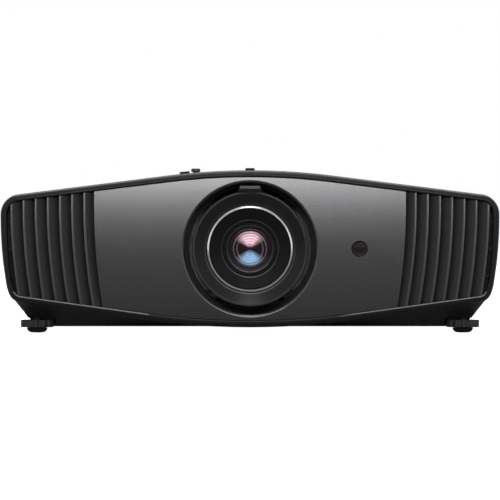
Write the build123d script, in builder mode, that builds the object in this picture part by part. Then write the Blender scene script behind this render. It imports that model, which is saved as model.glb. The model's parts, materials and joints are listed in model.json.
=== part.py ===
from build123d import *

# Home projector: a wide, shallow case with louvred wings, a recessed zoom lens on a two-way
# shift mechanism, a lamp-driven light engine and a rear connector bay.
# +X is to the viewer's right, +Y runs from the lens to the rear and +Z is up. The origin is
# under the middle of the case, on the surface the feet stand on. Sizes are in millimetres.

import os
from math import sqrt

os.makedirs("parts", exist_ok=True)

# ---------------------------------------------------------------- driving dimensions
front_y, rear_y = -173.0, 173.0  # bezel rim and rear wall
half_width = 246.7
floor_z, top_z = 6.0, 161.4  # underside of the tray, crest of the top cover
wall = 3.0
deck = 9.1  # what stands on the tray's floor starts here
seam_z, seam_gap = 118.6, 0.4  # where the top cover meets the bottom tray
lens_z = 83.7  # height of the lens axis

crown_x, crown_drop = 80.0, 5.0  # the crest's arc, to either side and down
wing_slope = 0.126
waist_z, knee_z = 116.6, 46.0  # the sides are upright above the waist and curl in to the knee
side_radius = 418.0
heel_x = 217.0  # edge of the flat underside
lip_x, lip_rise, lip_slope = 100.0, 6.9, 0.139  # the bezel's lower edge: an arc, then straight

bezel_back = front_y + 22.6
bezel_band = 6.5  # width of the bezel's rim, seen from the front
bezel_round = (5.0, 9.0)  # how far the rim's rounding reaches inward and back
shell_front = bezel_back + seam_gap

louvre_count, louvre_pitch, louvre_nose_x = 7, 12.0, 236.7
blade_radius, blade_waist_z = 560.0, 126.5  # every blade curls in on this arc below this height
rib_heights = (56.7, 83.2, 110.2)
fascia_x, fascia_edge_radius, fascia_bow = 153.9, 600.0, 800.0
fascia_front, fascia_thick = -172.6, 4.0
window_x, window_radius = 108.1, 7.6

hole_radius, ring_radius, trim_radius = 65.0, 57.4, 42.8  # fascia opening, lens rings, silver ring
hole_rounding = 2.8
barrel_radius, cell_bore, zoom_bore = 50.0, 43.2, 40.1
fit = 0.06  # radial clearance of a shaft in its bore

foot_x, foot_ys = 213.0, (-127.0, 128.0)
foot_wheel_radius, pocket_radius, pocket_z = 16.4, 18.8, 14.6
stem_radius = 4.0
rod_radius, rod_offset = 2.5, 48.0  # the horizontal shift rods, above and below the lens axis
upright_x, upright_y = 70.0, -66.0  # the vertical shift rods
screw_radius = 2.0
h_screw_y, h_screw_z = -58.0, 148.0
v_screw_x, v_screw_y = -14.0, -68.5

key_x, stick_x, stick_y, stick_pivot_z = -65.3, -54.2, -133.0, 153.0
column_spots = [(200, 103), (-200, 103), (200, -92), (-200, -92), (88, 157), (-88, 157)]
ceiling_spots = [(115, 60), (-115, 60), (115, -60), (-115, -60)]
bay_x, bay_z = (-165.0, 175.0), (20.0, 66.0)  # the rear connector bay
door_y, door_z, door_gap = (-30.0, 100.0), (54.0, 112.0), 0.4  # the lamp door in the right side
fan_x, fan_y, fan_z = 195.0, (-145.0, -120.0), 87.0


# ---------------------------------------------------------------- shared shapes
def facing(y):
    """The plane across the case at depth y, seen from the front: local axes are X and Z."""
    return Plane(origin=(0, y, 0), x_dir=(1, 0, 0), z_dir=(0, -1, 0))


def write(piece, name):
    piece.label = name
    export_step(piece, f"parts/{name}.step")
    solids = piece.solids()
    print(f"{name:20s} solids {len(solids):2d}  volume {sum(s.volume for s in solids):10.0f}")


def brick(x, y, z, mode=Mode.ADD):
    """A block between the (low, high) pairs along each axis."""
    with Locations(((x[0] + x[1]) / 2, (y[0] + y[1]) / 2, (z[0] + z[1]) / 2)):
        Box(x[1] - x[0], y[1] - y[0], z[1] - z[0], mode=mode)


def drum(along, radius, span, at, mode=Mode.ADD):
    """A cylinder along one axis between the span's ends, at the other two coordinates."""
    middle = (span[0] + span[1]) / 2
    spot = {"X": (middle, *at), "Y": (at[0], middle, at[1]), "Z": (*at, middle)}[along]
    turn = {"X": (0, 90, 0), "Y": (90, 0, 0), "Z": (0, 0, 0)}[along]
    with Locations(spot):
        Cylinder(radius, span[1] - span[0], rotation=turn, mode=mode)


def turned(points, centre=(0.0, lens_z)):
    """A piece turned about an axis along Y, from the (depth, radius) points of its section."""
    with BuildPart() as piece:
        plane = Plane(origin=(centre[0], 0, centre[1]), x_dir=(0, 1, 0), z_dir=(1, 0, 0))
        with BuildSketch(plane):
            with BuildLine():
                Polyline(*points, close=True)
            make_face()
        revolve(axis=Axis((centre[0], 0, centre[1]), (0, 1, 0)))
    return piece.part


def curl(radius, height):
    """How far an arc that starts upright has leaned in after falling by height."""
    return radius - sqrt(radius**2 - height**2)


def outline(y, inset=0.0, drop=0.0, narrow=0.0, lifted=False):
    """The case's closed section at depth y. Lifted, its lower edge is the bezel's curved lip."""
    half = half_width - inset - narrow
    top = top_z - inset - drop
    shoulder_z = top - crown_drop
    corner = (half, shoulder_z - (half - crown_x) * wing_slope)
    waist = waist_z - inset - drop
    fall = waist - knee_z - inset
    knee = (half - curl(side_radius, fall), knee_z + inset)
    middle = (half - curl(side_radius, fall / 2), waist - fall / 2)
    bottom = floor_z + inset
    if lifted:
        rise = lip_rise
        heel = (knee[0] - 4.5, bottom + lip_rise + (knee[0] - 4.5 - lip_x) * lip_slope)
    else:
        rise = 0.03  # the underside is very slightly hollow in the middle
        heel = (heel_x - inset - narrow, bottom)
    with BuildSketch(facing(y)) as section:
        with BuildLine():
            ThreePointArc((-crown_x, shoulder_z), (0, top), (crown_x, shoulder_z))
            for s in (1, -1):
                Line((s * crown_x, shoulder_z), (s * corner[0], corner[1]))
                Line((s * corner[0], corner[1]), (s * half, waist))
                ThreePointArc((s * half, waist), (s * middle[0], middle[1]), (s * knee[0], knee[1]))
                Line((s * knee[0], knee[1]), (s * heel[0], heel[1]))
                Line((s * heel[0], heel[1]), (s * lip_x, bottom + rise))
            if lifted:
                ThreePointArc((lip_x, bottom + rise), (0, bottom), (-lip_x, bottom + rise))
            else:
                Line((lip_x, bottom + rise), (-lip_x, bottom + rise))
        make_face()
        tight = max(inset, 0)
        for point, radius in ((corner, 20 - tight), (heel, 14 - tight * 0.9), (knee, 36)):
            near = [v for v in section.vertices() if abs(abs(v.X) - point[0]) + abs(v.Y - point[1]) < 0.05]
            fillet(near, radius=radius)
    return section.sketch


# depth, drop of the top, narrowing and edge rounding of the case, front to rear
stations = [
    (shell_front, 0.0, 0.0, 0.0),
    (-120.0, 0.0, 0.0, 0.0),
    (20.0, 0.0, 0.0, 0.0),
    (80.0, 1.6, 0.8, 0.0),
    (130.0, 4.6, 3.2, 0.0),
    (160.0, 7.4, 6.0, 0.0),
    (168.0, 8.2, 6.9, 1.6),
    (171.6, 8.6, 7.3, 4.0),
    (173.0, 8.7, 7.4, 7.0),
]


def case_block(inset):
    """The whole case as one block, shrunk by inset all round except at the open front."""
    faces = []
    for y, drop, narrow, rounding in stations:
        y_here = y - inset if rounding else y
        section = outline(y_here, inset + rounding, drop, narrow, lifted=y == shell_front)
        faces.append(section.faces()[0])
    with BuildPart() as block:
        loft(sections=faces, ruled=True)
    return block.part


def crest(inset, y):
    """A prism under the top surface, shrunk by inset, between the depths y."""
    with BuildPart() as prism:
        extrude(outline(y[1], inset), amount=y[1] - y[0])
    return prism.part


def skin(x, y, depth, thickness):
    """A patch of the top surface, thickness deep and starting depth below the surface."""
    with BuildPart() as patch:
        brick(x, y, (140, 170))
        add(crest(depth, (y[0] - 1, y[1] + 1)), mode=Mode.INTERSECT)
        add(crest(depth + thickness, (y[0] - 2, y[1] + 2)), mode=Mode.SUBTRACT)
    return patch.part


def bezel_opening(inset):
    """A prism through the bezel's opening, shrunk by inset."""
    with BuildPart() as prism:
        extrude(outline(bezel_back + 2, bezel_band + inset, lifted=True), amount=30)
    return prism.part


case_outer = case_block(0.0)
case_inner = case_block(wall)

# ---------------------------------------------------------------- case shells
with BuildPart() as foot_bosses:
    for x in (foot_x, -foot_x):
        for y in foot_ys:
            drum("Z", pocket_radius + 1.9, (floor_z - 1, pocket_z + 2.9), (x, y))
    add(case_outer, mode=Mode.INTERSECT)

with BuildPart() as columns:
    for spot in column_spots:
        drum("Z", 5.0, (2, 165), spot)
    for spot in ceiling_spots:
        drum("Z", 6.0, (2, 17), spot)
    add(case_outer, mode=Mode.INTERSECT)

with BuildPart() as shell:
    add(case_outer)
    add(case_inner, mode=Mode.SUBTRACT)
    add(columns.part)
    add(foot_bosses.part)
    for spot in column_spots:
        drum("Z", 1.9, (2, 133), spot, mode=Mode.SUBTRACT)
        drum("Z", 4.0, (2, 9.6), spot, mode=Mode.SUBTRACT)

with BuildPart() as bottom_tray:
    add(shell.part)
    split(bisect_by=Plane.XY.offset(seam_z - seam_gap / 2), keep=Keep.BOTTOM)
    for x in (foot_x, -foot_x):
        for y in foot_ys:
            drum("Z", pocket_radius, (0, pocket_z), (x, y), mode=Mode.SUBTRACT)
            drum("Z", stem_radius + 0.4, (0, 20), (x, y), mode=Mode.SUBTRACT)
            drum("Z", 6.4, (pocket_z + 2.9, 30), (x, y), mode=Mode.SUBTRACT)
    for spot in ceiling_spots:
        drum("Z", 3.7, (2, 16), spot, mode=Mode.SUBTRACT)
    with BuildSketch(Plane.XY):  # air inlets under the light engine
        with Locations((0, 15)):
            with GridLocations(8, 58, 17, 2):
                RectangleRounded(3.2, 46, 1.5)
    extrude(amount=12, mode=Mode.SUBTRACT)
    with BuildSketch(facing(rear_y + 2)):  # warm air outlets above the connectors
        with Locations((-85, 92), (85, 92)):
            with GridLocations(8, 0, 17, 1):
                RectangleRounded(3.4, 34, 1.6)
    extrude(amount=8, mode=Mode.SUBTRACT)
    brick(bay_x, (168, 176), bay_z, mode=Mode.SUBTRACT)
    door_hole_y, door_hole_z = [(low - door_gap, high + door_gap) for low, high in (door_y, door_z)]
    brick((200, 260), door_hole_y, door_hole_z, mode=Mode.SUBTRACT)
write(bottom_tray.part, "bottom_tray")

with BuildPart() as top_cover:
    add(shell.part)
    split(bisect_by=Plane.XY.offset(seam_z + seam_gap / 2), keep=Keep.TOP)
    add(skin((-32, 32), (-92, 19), -0.6, 2.35), mode=Mode.SUBTRACT)
    add(skin((-76, -44), (-143, -83), -0.6, 2.3), mode=Mode.SUBTRACT)
    brick((-26, 26), (-84, -44), (150, 170), mode=Mode.SUBTRACT)
    brick((-74.4, -45.6), (-141.4, -84.6), (150, 170), mode=Mode.SUBTRACT)
write(top_cover.part, "top_cover")

# ---------------------------------------------------------------- bezel, fascia and louvres
with BuildPart() as front_frame:
    faces = []
    for along in (0.0, 0.03, 0.13, 0.3, 0.56, 1.0):  # the rim is rounded to a quarter ellipse
        inset = bezel_round[0] * (1 - sqrt(1 - (1 - along) ** 2))
        faces.append(outline(front_y + bezel_round[1] * along, inset, lifted=True).faces()[0])
    faces.append(outline(bezel_back, lifted=True).faces()[0])
    loft(sections=faces, ruled=True)
    extrude(outline(-158, bezel_band, lifted=True), amount=20, mode=Mode.SUBTRACT)
    extrude(outline(bezel_back + 1, bezel_band + 3, lifted=True), amount=20, mode=Mode.SUBTRACT)
    mouth = [(front_y - 0.1, bezel_band - 1.1), (front_y + 1, bezel_band)]
    loft(
        sections=[outline(y, inset, lifted=True).faces()[0] for y, inset in mouth],
        ruled=True,
        mode=Mode.SUBTRACT,
    )
    drum("Y", 71.3, (-159, -149), (0, lens_z), mode=Mode.SUBTRACT)
write(front_frame.part, "front_frame")

with BuildPart() as front_fascia:
    with BuildSketch(Plane.YZ):  # the sheet's bowed side profile
        centre_y = fascia_front + fascia_bow
        with Locations((centre_y, lens_z)):
            Circle(fascia_bow)
            Circle(fascia_bow - fascia_thick, mode=Mode.SUBTRACT)
        with Locations((-160, lens_z)):
            Rectangle(40, 170, mode=Mode.INTERSECT)
    extrude(amount=fascia_x + 4, both=True)
    with BuildSketch(facing(-140)):  # its front shape, with edges that curl in
        with BuildLine():
            fall = blade_waist_z - 8
            low_x = fascia_x - curl(fascia_edge_radius, fall)
            middle_x = fascia_x - curl(fascia_edge_radius, fall / 2)
            for s in (1, -1):
                Line((s * fascia_x, 170), (s * fascia_x, blade_waist_z))
                middle = (s * middle_x, blade_waist_z - fall / 2)
                ThreePointArc((s * fascia_x, blade_waist_z), middle, (s * low_x, 8))
            Line((fascia_x, 170), (-fascia_x, 170))
            Line((low_x, 8), (-low_x, 8))
        make_face()
    extrude(amount=40, mode=Mode.INTERSECT)
    add(bezel_opening(0.5), mode=Mode.INTERSECT)
    drum("Y", hole_radius, (-180, -150), (0, lens_z), mode=Mode.SUBTRACT)
    drum("Y", window_radius + 0.3, (-180, -150), (window_x, lens_z), mode=Mode.SUBTRACT)
    curved = front_fascia.edges().filter_by(GeomType.LINE, reverse=True)
    hole_rim = curved.filter_by(lambda e: e.length > 6 * hole_radius - 10 and e.center().Y < -170.5)
    fillet(hole_rim, radius=hole_rounding)
write(front_fascia.part, "front_fascia")

with BuildPart() as ir_window:
    drum("Y", window_radius, (-171.4, -167), (window_x, lens_z))
    chamfer(ir_window.faces().sort_by(Axis.Y)[0].edges(), length=0.5)
write(ir_window.part, "ir_window")


# a louvre's section, from its nose backwards: width inwards, then depth
blade_section = [
    (0, 0),
    (-0.6, 0.5),
    (-1.6, 0.5),
    (-2.2, 0),
    (-13.5, -7.5),
    (-13.5, -10.2),
    (-12.6, -10.2),
    (0, -2.0),
]


def blade(nose_x):
    """One louvre: a sloping strip with a squared nose, following the case's curl."""
    fall = blade_waist_z - 14
    with BuildPart() as strip:
        with BuildLine():
            Line((nose_x, -171, 164), (nose_x, -171, blade_waist_z))
            ThreePointArc(
                (nose_x, -171, blade_waist_z),
                (nose_x - curl(blade_radius, fall / 2), -171, blade_waist_z - fall / 2),
                (nose_x - curl(blade_radius, fall), -171, 14),
            )
        with BuildSketch(Plane(origin=(nose_x, -171, 164), x_dir=(1, 0, 0), z_dir=(0, 0, -1))):
            with BuildLine():
                Polyline(*blade_section, close=True)
            make_face()
        sweep()
    return strip.part


with BuildPart() as louvre_right:
    for i in range(louvre_count):
        add(blade(louvre_nose_x - i * louvre_pitch))
    for z in rib_heights:
        brick((151, 244), (-162, -158.4), (z - 1.2, z + 1.2))
    add(bezel_opening(0.4), mode=Mode.INTERSECT)
write(louvre_right.part, "louvre_right")

with BuildPart() as louvre_left:
    mirror(louvre_right.part, about=Plane.YZ)
write(louvre_left.part, "louvre_left")

# ---------------------------------------------------------------- lens surround and lens
with BuildPart() as lens_surround:
    add(turned([(-165, 69), (-165, 71), (-126, 71), (-126, 61), (-128, 61), (-128, 69)]))
    for s in (1, -1):  # feet down to the tray floor
        brick((s * 34 - 4, s * 34 + 4), (-138, -128), (10, 24))
    drum("Y", 69, (-170, -128), (0, lens_z), mode=Mode.SUBTRACT)
write(lens_surround.part, "lens_surround")

barrel_section = [
    (-146.6, cell_bore),
    (-146.6, barrel_radius),
    (-128.6, barrel_radius),
    (-128.6, 55),
    (-124, 55),
    (-124, barrel_radius),
    (-74, barrel_radius),
    (-74, 36),
    (-20, 36),
    (-20, 33),
    (-78, 33),
    (-78, zoom_bore),
    (-122, zoom_bore),
    (-122, cell_bore),
]
with BuildPart() as lens_barrel:
    add(turned(barrel_section))
write(lens_barrel.part, "lens_barrel")

focus_ring_section = [
    (-160, 55),
    (-160, 56.9),
    (-159.5, ring_radius),
    (-143, ring_radius),
    (-143, barrel_radius + fit),
    (-147, barrel_radius + fit),
    (-147, 43.6),
    (-150, 43.6),
]
with BuildPart() as focus_ring:
    add(turned(focus_ring_section))
write(focus_ring.part, "focus_ring")

zoom_ring_section = [
    (-142.6, barrel_radius + fit),
    (-142.6, ring_radius),
    (-129, ring_radius),
    (-129, barrel_radius + fit),
]
with BuildPart() as zoom_ring:
    add(turned(zoom_ring_section))
    top = lens_z + ring_radius
    brick((-9, 9), (-162.4, -129), (top + 0.5, top + 3))  # the lever reaches over the focus ring
    brick((-9, 9), (-142, -129), (top - 1.5, top + 1))
    brick((-12, 12), (-163.6, -160.4), (top - 1.1, top + 2))
    brick((-10.2, 10.2), (-163.6, -160.4), (top + 2, top + 5.2))
write(zoom_ring.part, "zoom_ring")

name_ring_section = [
    (-149, cell_bore - fit),
    (-128, cell_bore - fit),
    (-128, 38),
    (-133, 38),
    (-133, 24.3),
    (-142.4, 24.3),
    (-142.4, 26.5),
    (-144.4, 26.5),
    (-144.4, 28.4),
    (-147, 28.4),
    (-149, 40.4),
]
with BuildPart() as name_ring:
    add(turned(name_ring_section))
write(name_ring.part, "name_ring")

trim_section = [(-149, 40.6), (-151, 40.9), (-151.5, 41.6), (-151.2, trim_radius), (-149, trim_radius)]
with BuildPart() as trim_ring:
    add(turned(trim_section))
write(trim_ring.part, "trim_ring")

retainer_section = [
    (-142.4, 24.2),
    (-143.9, 23.7),
    (-144, 22.6),
    (-142.6, 21.7),
    (-141.4, 21.7),
    (-141.4, 24.2),
]
with BuildPart() as lens_retainer:
    add(turned(retainer_section))
write(lens_retainer.part, "lens_retainer")


def lens_element(radius, front, back, bulge_front, bulge_back):
    """A round lens with its edge between the depths front and back and both faces bulging."""
    arcs = []
    for edge, bulge, way in ((front, bulge_front, -1), (back, bulge_back, 1)):
        ball = (radius**2 + bulge**2) / (2 * bulge)
        halfway = bulge - ball + sqrt(ball**2 - radius**2 / 4)
        arcs.append([(edge + way * bulge, 0), (edge + way * halfway, radius / 2), (edge, radius)])
    with BuildPart() as element:
        with BuildSketch(Plane(origin=(0, 0, lens_z), x_dir=(0, 1, 0), z_dir=(1, 0, 0))):
            with BuildLine():
                ThreePointArc(*arcs[0])
                Line((front, radius), (back, radius))
                ThreePointArc(*arcs[1])
                Line(arcs[1][0], arcs[0][0])
            make_face()
        revolve(axis=Axis((0, 0, lens_z), (0, 1, 0)))
    return element.part


with BuildPart() as front_lens:
    add(lens_element(24.1, -140.6, -135, 2.6, 1.5))
write(front_lens.part, "front_lens")

zoom_cell_section = [
    (-118, 33),
    (-118, zoom_bore - fit),
    (-85, zoom_bore - fit),
    (-85, 33),
    (-96, 33),
    (-96, 30),
    (-104, 30),
    (-104, 33),
]
with BuildPart() as zoom_cell:
    add(turned(zoom_cell_section))
write(zoom_cell.part, "zoom_cell")

with BuildPart() as zoom_lens:
    add(lens_element(29.9, -103, -97, 3.0, 3.0))
write(zoom_lens.part, "zoom_lens")

with BuildPart() as rear_lens:
    add(lens_element(32.9, -34, -28, 3.0, 3.0))
write(rear_lens.part, "rear_lens")

# ---------------------------------------------------------------- lens shift mechanism
rod_zs = (lens_z - rod_offset, lens_z + rod_offset)
running = fit + rod_radius

with BuildPart() as shift_base:
    brick((-95, 95), (-50, -46), (deck, 138))
    for s in (1, -1):  # feet, and brackets that hold the rods' ends
        brick((s * 88 - 7, s * 88 + 7), (-50, -20), (deck, 13))
        for z in rod_zs:
            brick((s * 86 - 4, s * 86 + 4), (-61, -50), (z - 5, z + 5))
    for z in rod_zs:
        drum("X", rod_radius, (-88, 88), (-56, z))
    for x in ((31, 34), (52, 55)):  # ears that carry the sideways screw
        brick(x, (-63, -46), (138, 153))
        brick(x, (-50, -46), (130, 140))
        drum("X", screw_radius + fit, x, (h_screw_y, h_screw_z), mode=Mode.SUBTRACT)
    drum("Y", 45, (-52, -44), (0, lens_z), mode=Mode.SUBTRACT)
write(shift_base.part, "shift_base")

with BuildPart() as h_dial:
    drum("X", 8, (9, 19), (h_screw_y, h_screw_z))
    with BuildSketch(Plane.YZ.offset(8)):
        with Locations((h_screw_y, h_screw_z)):
            with PolarLocations(8.3, 20):
                Circle(0.7)
    extrude(amount=12, mode=Mode.SUBTRACT)
    drum("X", screw_radius, (9, 57), (h_screw_y, h_screw_z))
write(h_dial.part, "h_dial")

with BuildPart() as h_carriage:
    brick((-62, 62), (-64, -60), (lens_z - 50, lens_z + 50))
    for z in rod_zs:
        for x in (-30, 30):
            drum("X", 4.7, (x - 5, x + 5), (-56, z))
            drum("X", running, (x - 6, x + 6), (-56, z), mode=Mode.SUBTRACT)
    for s in (1, -1):  # lugs that hold the upright rods
        for z in ((lens_z - 50, lens_z - 42), (lens_z + 42, lens_z + 50)):
            brick((s * 66 - 9, s * 66 + 9), (-70, -60), z)
        drum("Z", rod_radius, (lens_z - 46, lens_z + 46), (s * upright_x, upright_y))
    brick((38, 48), (-64, -60), (130, 153))
    brick((38, 48), (-64, -53), (138, 153))  # nut on the sideways screw
    drum("X", screw_radius + fit, (36, 50), (h_screw_y, h_screw_z), mode=Mode.SUBTRACT)
    brick((v_screw_x - 6, v_screw_x + 6), (-64, -60), (130, 137))
    brick((v_screw_x - 6, v_screw_x + 6), (-73, -60), (134, 137))  # bearing of the upright screw
    drum("Z", screw_radius + fit, (133, 138), (v_screw_x, v_screw_y), mode=Mode.SUBTRACT)
    drum("Y", 42, (-66, -58), (0, lens_z), mode=Mode.SUBTRACT)
write(h_carriage.part, "h_carriage")

with BuildPart() as v_dial:
    drum("Z", 8, (148.5, 156), (v_screw_x, v_screw_y))
    with BuildSketch(Plane.XY.offset(148)):
        with Locations((v_screw_x, v_screw_y)):
            with PolarLocations(8.3, 20):
                Circle(0.7)
    extrude(amount=10, mode=Mode.SUBTRACT)
    drum("Z", screw_radius, (121.2, 149), (v_screw_x, v_screw_y))
    drum("Z", 3.4, (137.35, 138.1), (v_screw_x, v_screw_y))
write(v_dial.part, "v_dial")

with BuildPart() as v_carriage:
    brick((-66.4, 66.4), (-74, -68), (lens_z - 34, lens_z + 34))
    brick((-54, 54), (-74, -68), (lens_z - 42, lens_z + 42))
    for s in (1, -1):
        brick((s * upright_x - 5, s * upright_x + 5), (-71.4, -61.2), (lens_z - 20, lens_z + 20))
        drum("Z", running, (lens_z - 22, lens_z + 22), (s * upright_x, upright_y), mode=Mode.SUBTRACT)
    brick((v_screw_x - 6, v_screw_x + 6), (-73, -64.6), (116, 129))  # nut on the upright screw
    drum("Z", screw_radius + fit, (114, 131), (v_screw_x, v_screw_y), mode=Mode.SUBTRACT)
    drum("Y", 36.02, (-75, -63), (0, lens_z), mode=Mode.SUBTRACT)
write(v_carriage.part, "v_carriage")

with BuildPart() as dial_well:
    brick((-28, 28), (-86, -42), (138.2, 160))
    add(crest(wall, (-90, -40)), mode=Mode.INTERSECT)
    brick((-26, 26), (-84, -44), (139.6, 165), mode=Mode.SUBTRACT)
    with BuildSketch(Plane.XY.offset(137)):  # the upright screw moves sideways with its carriage
        with Locations((v_screw_x, v_screw_y)):
            SlotCenterToCenter(5.2, 7.6)
    extrude(amount=4, mode=Mode.SUBTRACT)
    drum("X", 3, (25, 29), (h_screw_y, h_screw_z), mode=Mode.SUBTRACT)
write(dial_well.part, "dial_well")

with BuildPart() as sliding_cover:
    add(skin((-31.6, 31.6), (-91.6, -36), 0, 1.4))
    with BuildSketch(facing(-84)):  # finger ridge
        with Locations((0, top_z + 1.2)):
            RectangleRounded(9.6, 6, 1.2)
    extrude(amount=4)
    add(crest(1.2, (-90, -80)), mode=Mode.SUBTRACT)
write(sliding_cover.part, "sliding_cover")

# ---------------------------------------------------------------- keypad
with BuildPart() as keypad_plate:
    add(skin((-75.8, -44.2), (-142.8, -83.2), 0, 1.6))
    brick((key_x - 5.3, key_x + 5.3), (stick_y - 5.3, stick_y + 5.3), (150, 165), mode=Mode.SUBTRACT)
    drum("Z", 4.4, (150, 165), (stick_x, stick_y), mode=Mode.SUBTRACT)
    for x, y in ((key_x, -117), (stick_x, -117), (key_x, -105)):
        brick((x - 4.8, x + 4.8), (y - 3.1, y + 3.1), (150, 165), mode=Mode.SUBTRACT)
    for s in (1, -1):  # posts that carry the stick's outer pins
        y = stick_y + s * 7.3
        brick((stick_x - 2.2, stick_x + 2.2), (y - 1, y + 1), (151, 158))
        drum("Y", 1 + fit, (y - 1.5, y + 1.5), (stick_x, stick_pivot_z), mode=Mode.SUBTRACT)
write(keypad_plate.part, "keypad_plate")


def tier(x, y, half_x, half_y, height):
    """A block whose top follows the cover, height above the cover's surface."""
    with BuildPart() as block:
        brick((x - half_x, x + half_x), (y - half_y, y + half_y), (148, 168))
        add(crest(-height, (y - 12, y + 12)), mode=Mode.INTERSECT)
    return block.part


def key(x, y, across, deep, proud):
    """A key whose stepped top follows the cover, with a flange front and back below."""
    step = 0.4
    half_x, half_y = across / 2, deep / 2
    with BuildPart() as cap:
        add(tier(x, y, half_x, half_y, proud - step))
        add(tier(x, y, half_x - step, half_y - step, proud))
        brick((x - half_x, x + half_x), (y - half_y - 1.2, y + half_y + 1.2), (148, 150.4))
    return cap.part


with BuildPart() as power_button:
    add(key(key_x, stick_y, 9.8, 9.8, 2.8))
write(power_button.part, "power_button")

for name, x, y in (("menu_key", key_x, -117), ("source_key", stick_x, -117), ("back_key", key_x, -105)):
    with BuildPart() as small_key:
        add(key(x, y, 9, 5.6, 1.2))
    write(small_key.part, name)

with BuildPart() as stick:
    drum("Z", 4.6, (160.4, 163.9), (stick_x, stick_y))
    fillet(stick.faces().sort_by(Axis.Z)[-1].edges(), radius=1.2)
    drum("Z", 3, (156, 160.6), (stick_x, stick_y))
    drum("Z", 2, (151.4, 156.2), (stick_x, stick_y))
    drum("X", 0.8, (stick_x - 4.4, stick_x + 4.4), (stick_y, stick_pivot_z))
write(stick.part, "stick")

with BuildPart() as stick_gimbal:
    z = stick_pivot_z
    brick((stick_x - 4.6, stick_x + 4.6), (stick_y - 5.2, stick_y + 5.2), (z - 1.5, z + 1.5))
    brick((stick_x - 3, stick_x + 3), (stick_y - 3.4, stick_y + 3.4), (z - 2, z + 2), mode=Mode.SUBTRACT)
    drum("Y", 1, (stick_y - 8.2, stick_y - 5), (stick_x, z))
    drum("Y", 1, (stick_y + 5, stick_y + 8.2), (stick_x, z))
    drum("X", 0.8 + fit, (stick_x - 5, stick_x + 5), (stick_y, z), mode=Mode.SUBTRACT)
write(stick_gimbal.part, "stick_gimbal")

# ---------------------------------------------------------------- feet
for side, x in (("right", foot_x), ("left", -foot_x)):
    for end, y in zip(("front", "rear"), foot_ys):
        with BuildPart() as wheel:
            with BuildSketch(Plane.XY.offset(5.4)):
                with Locations((x, y)):
                    Circle(foot_wheel_radius - 1.8)
                    with PolarLocations(foot_wheel_radius - 2.6, 12):
                        Circle(2.6)
                    Circle(stem_radius + fit, mode=Mode.SUBTRACT)
            extrude(amount=7.4)
        write(wheel.part, f"foot_wheel_{end}_{side}")

        with BuildPart() as pad:
            with BuildSketch(Plane(origin=(x, y, 0), x_dir=(1, 0, 0), z_dir=(0, -1, 0))):
                with BuildLine():
                    Line((0, 0), (5, 0))
                    ThreePointArc((5, 0), (8.8, 1.5), (10.3, 4.9))
                    Polyline((10.3, 4.9), (stem_radius, 4.9), (stem_radius, 26.6), (0, 26.6), (0, 0))
                make_face()
            revolve(axis=Axis((x, y, 0), (0, 0, 1)))
        write(pad.part, f"foot_pad_{end}_{side}")

with BuildPart() as foot_inserts:
    for x in (foot_x, -foot_x):
        for y in foot_ys:
            drum("Z", 6.4, (pocket_z + 2.9, 28), (x, y))
            drum("Z", stem_radius + fit, (pocket_z, 30), (x, y), mode=Mode.SUBTRACT)
write(foot_inserts.part, "foot_inserts")

with BuildPart() as ceiling_inserts:
    for spot in ceiling_spots:
        drum("Z", 3.7, (floor_z + 0.2, 16), spot)
        drum("Z", 2.0, (floor_z - 1, 14), spot, mode=Mode.SUBTRACT)
write(ceiling_inserts.part, "ceiling_inserts")

with BuildPart() as case_screws:
    for spot in column_spots:
        drum("Z", 3.8, (7.0, 9.6), spot)
        drum("Z", 1.8, (9.6, 131), spot)
write(case_screws.part, "case_screws")

# ---------------------------------------------------------------- lamp door and lamp
with BuildPart() as lamp_cover:
    brick((215, 252), door_y, door_z)
    add(case_outer, mode=Mode.INTERSECT)
    add(case_inner, mode=Mode.SUBTRACT)
    drum("X", 3.2, (236, 250), (88, 66), mode=Mode.SUBTRACT)
    drum("X", 3.1, (237.6, 245), (88, 66))  # captive screw
    drum("X", 1.4, (233, 238), (88, 66))
write(lamp_cover.part, "lamp_cover")

with BuildPart() as lamp_module:
    brick((152, 228), (-24, 80), (46, 114))
    brick((156, 224), (-20, 76), (50, 110), mode=Mode.SUBTRACT)
    brick((140, 170), (8, 62), (54, 106), mode=Mode.SUBTRACT)
    for z in (66, 78, 90):
        brick((220, 236), (-12, 68), (z - 1.6, z + 1.6), mode=Mode.SUBTRACT)
    brick((160, 204), (-16, 70), (deck, 46))
    brick((164, 200), (-12, 66), (deck, 43), mode=Mode.SUBTRACT)
    brick((228, 233), (18, 38), (96, 101))
    brick((228, 233), (18, 38), (60, 62))
write(lamp_module.part, "lamp_module")

with BuildPart() as lamp_burner:
    with BuildSketch(Plane(origin=(0, 35, 80), x_dir=(1, 0, 0), z_dir=(0, -1, 0))):
        with BuildLine():
            ThreePointArc((162, 24), (190, 16), (202, 5))
            Line((202, 5), (206, 8))
            ThreePointArc((206, 8), (192, 19), (162, 27))
            Line((162, 27), (162, 24))
        make_face()
    revolve(axis=Axis((0, 35, 80), (1, 0, 0)))
    drum("X", 6, (202, 216), (35, 80))
    drum("X", 2.5, (178, 204), (35, 80))
write(lamp_burner.part, "lamp_burner")

with BuildPart() as colour_wheel:
    drum("X", 27, (143, 144.2), (60, 80))
    drum("X", 9, (136, 147), (60, 80))
write(colour_wheel.part, "colour_wheel")

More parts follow.
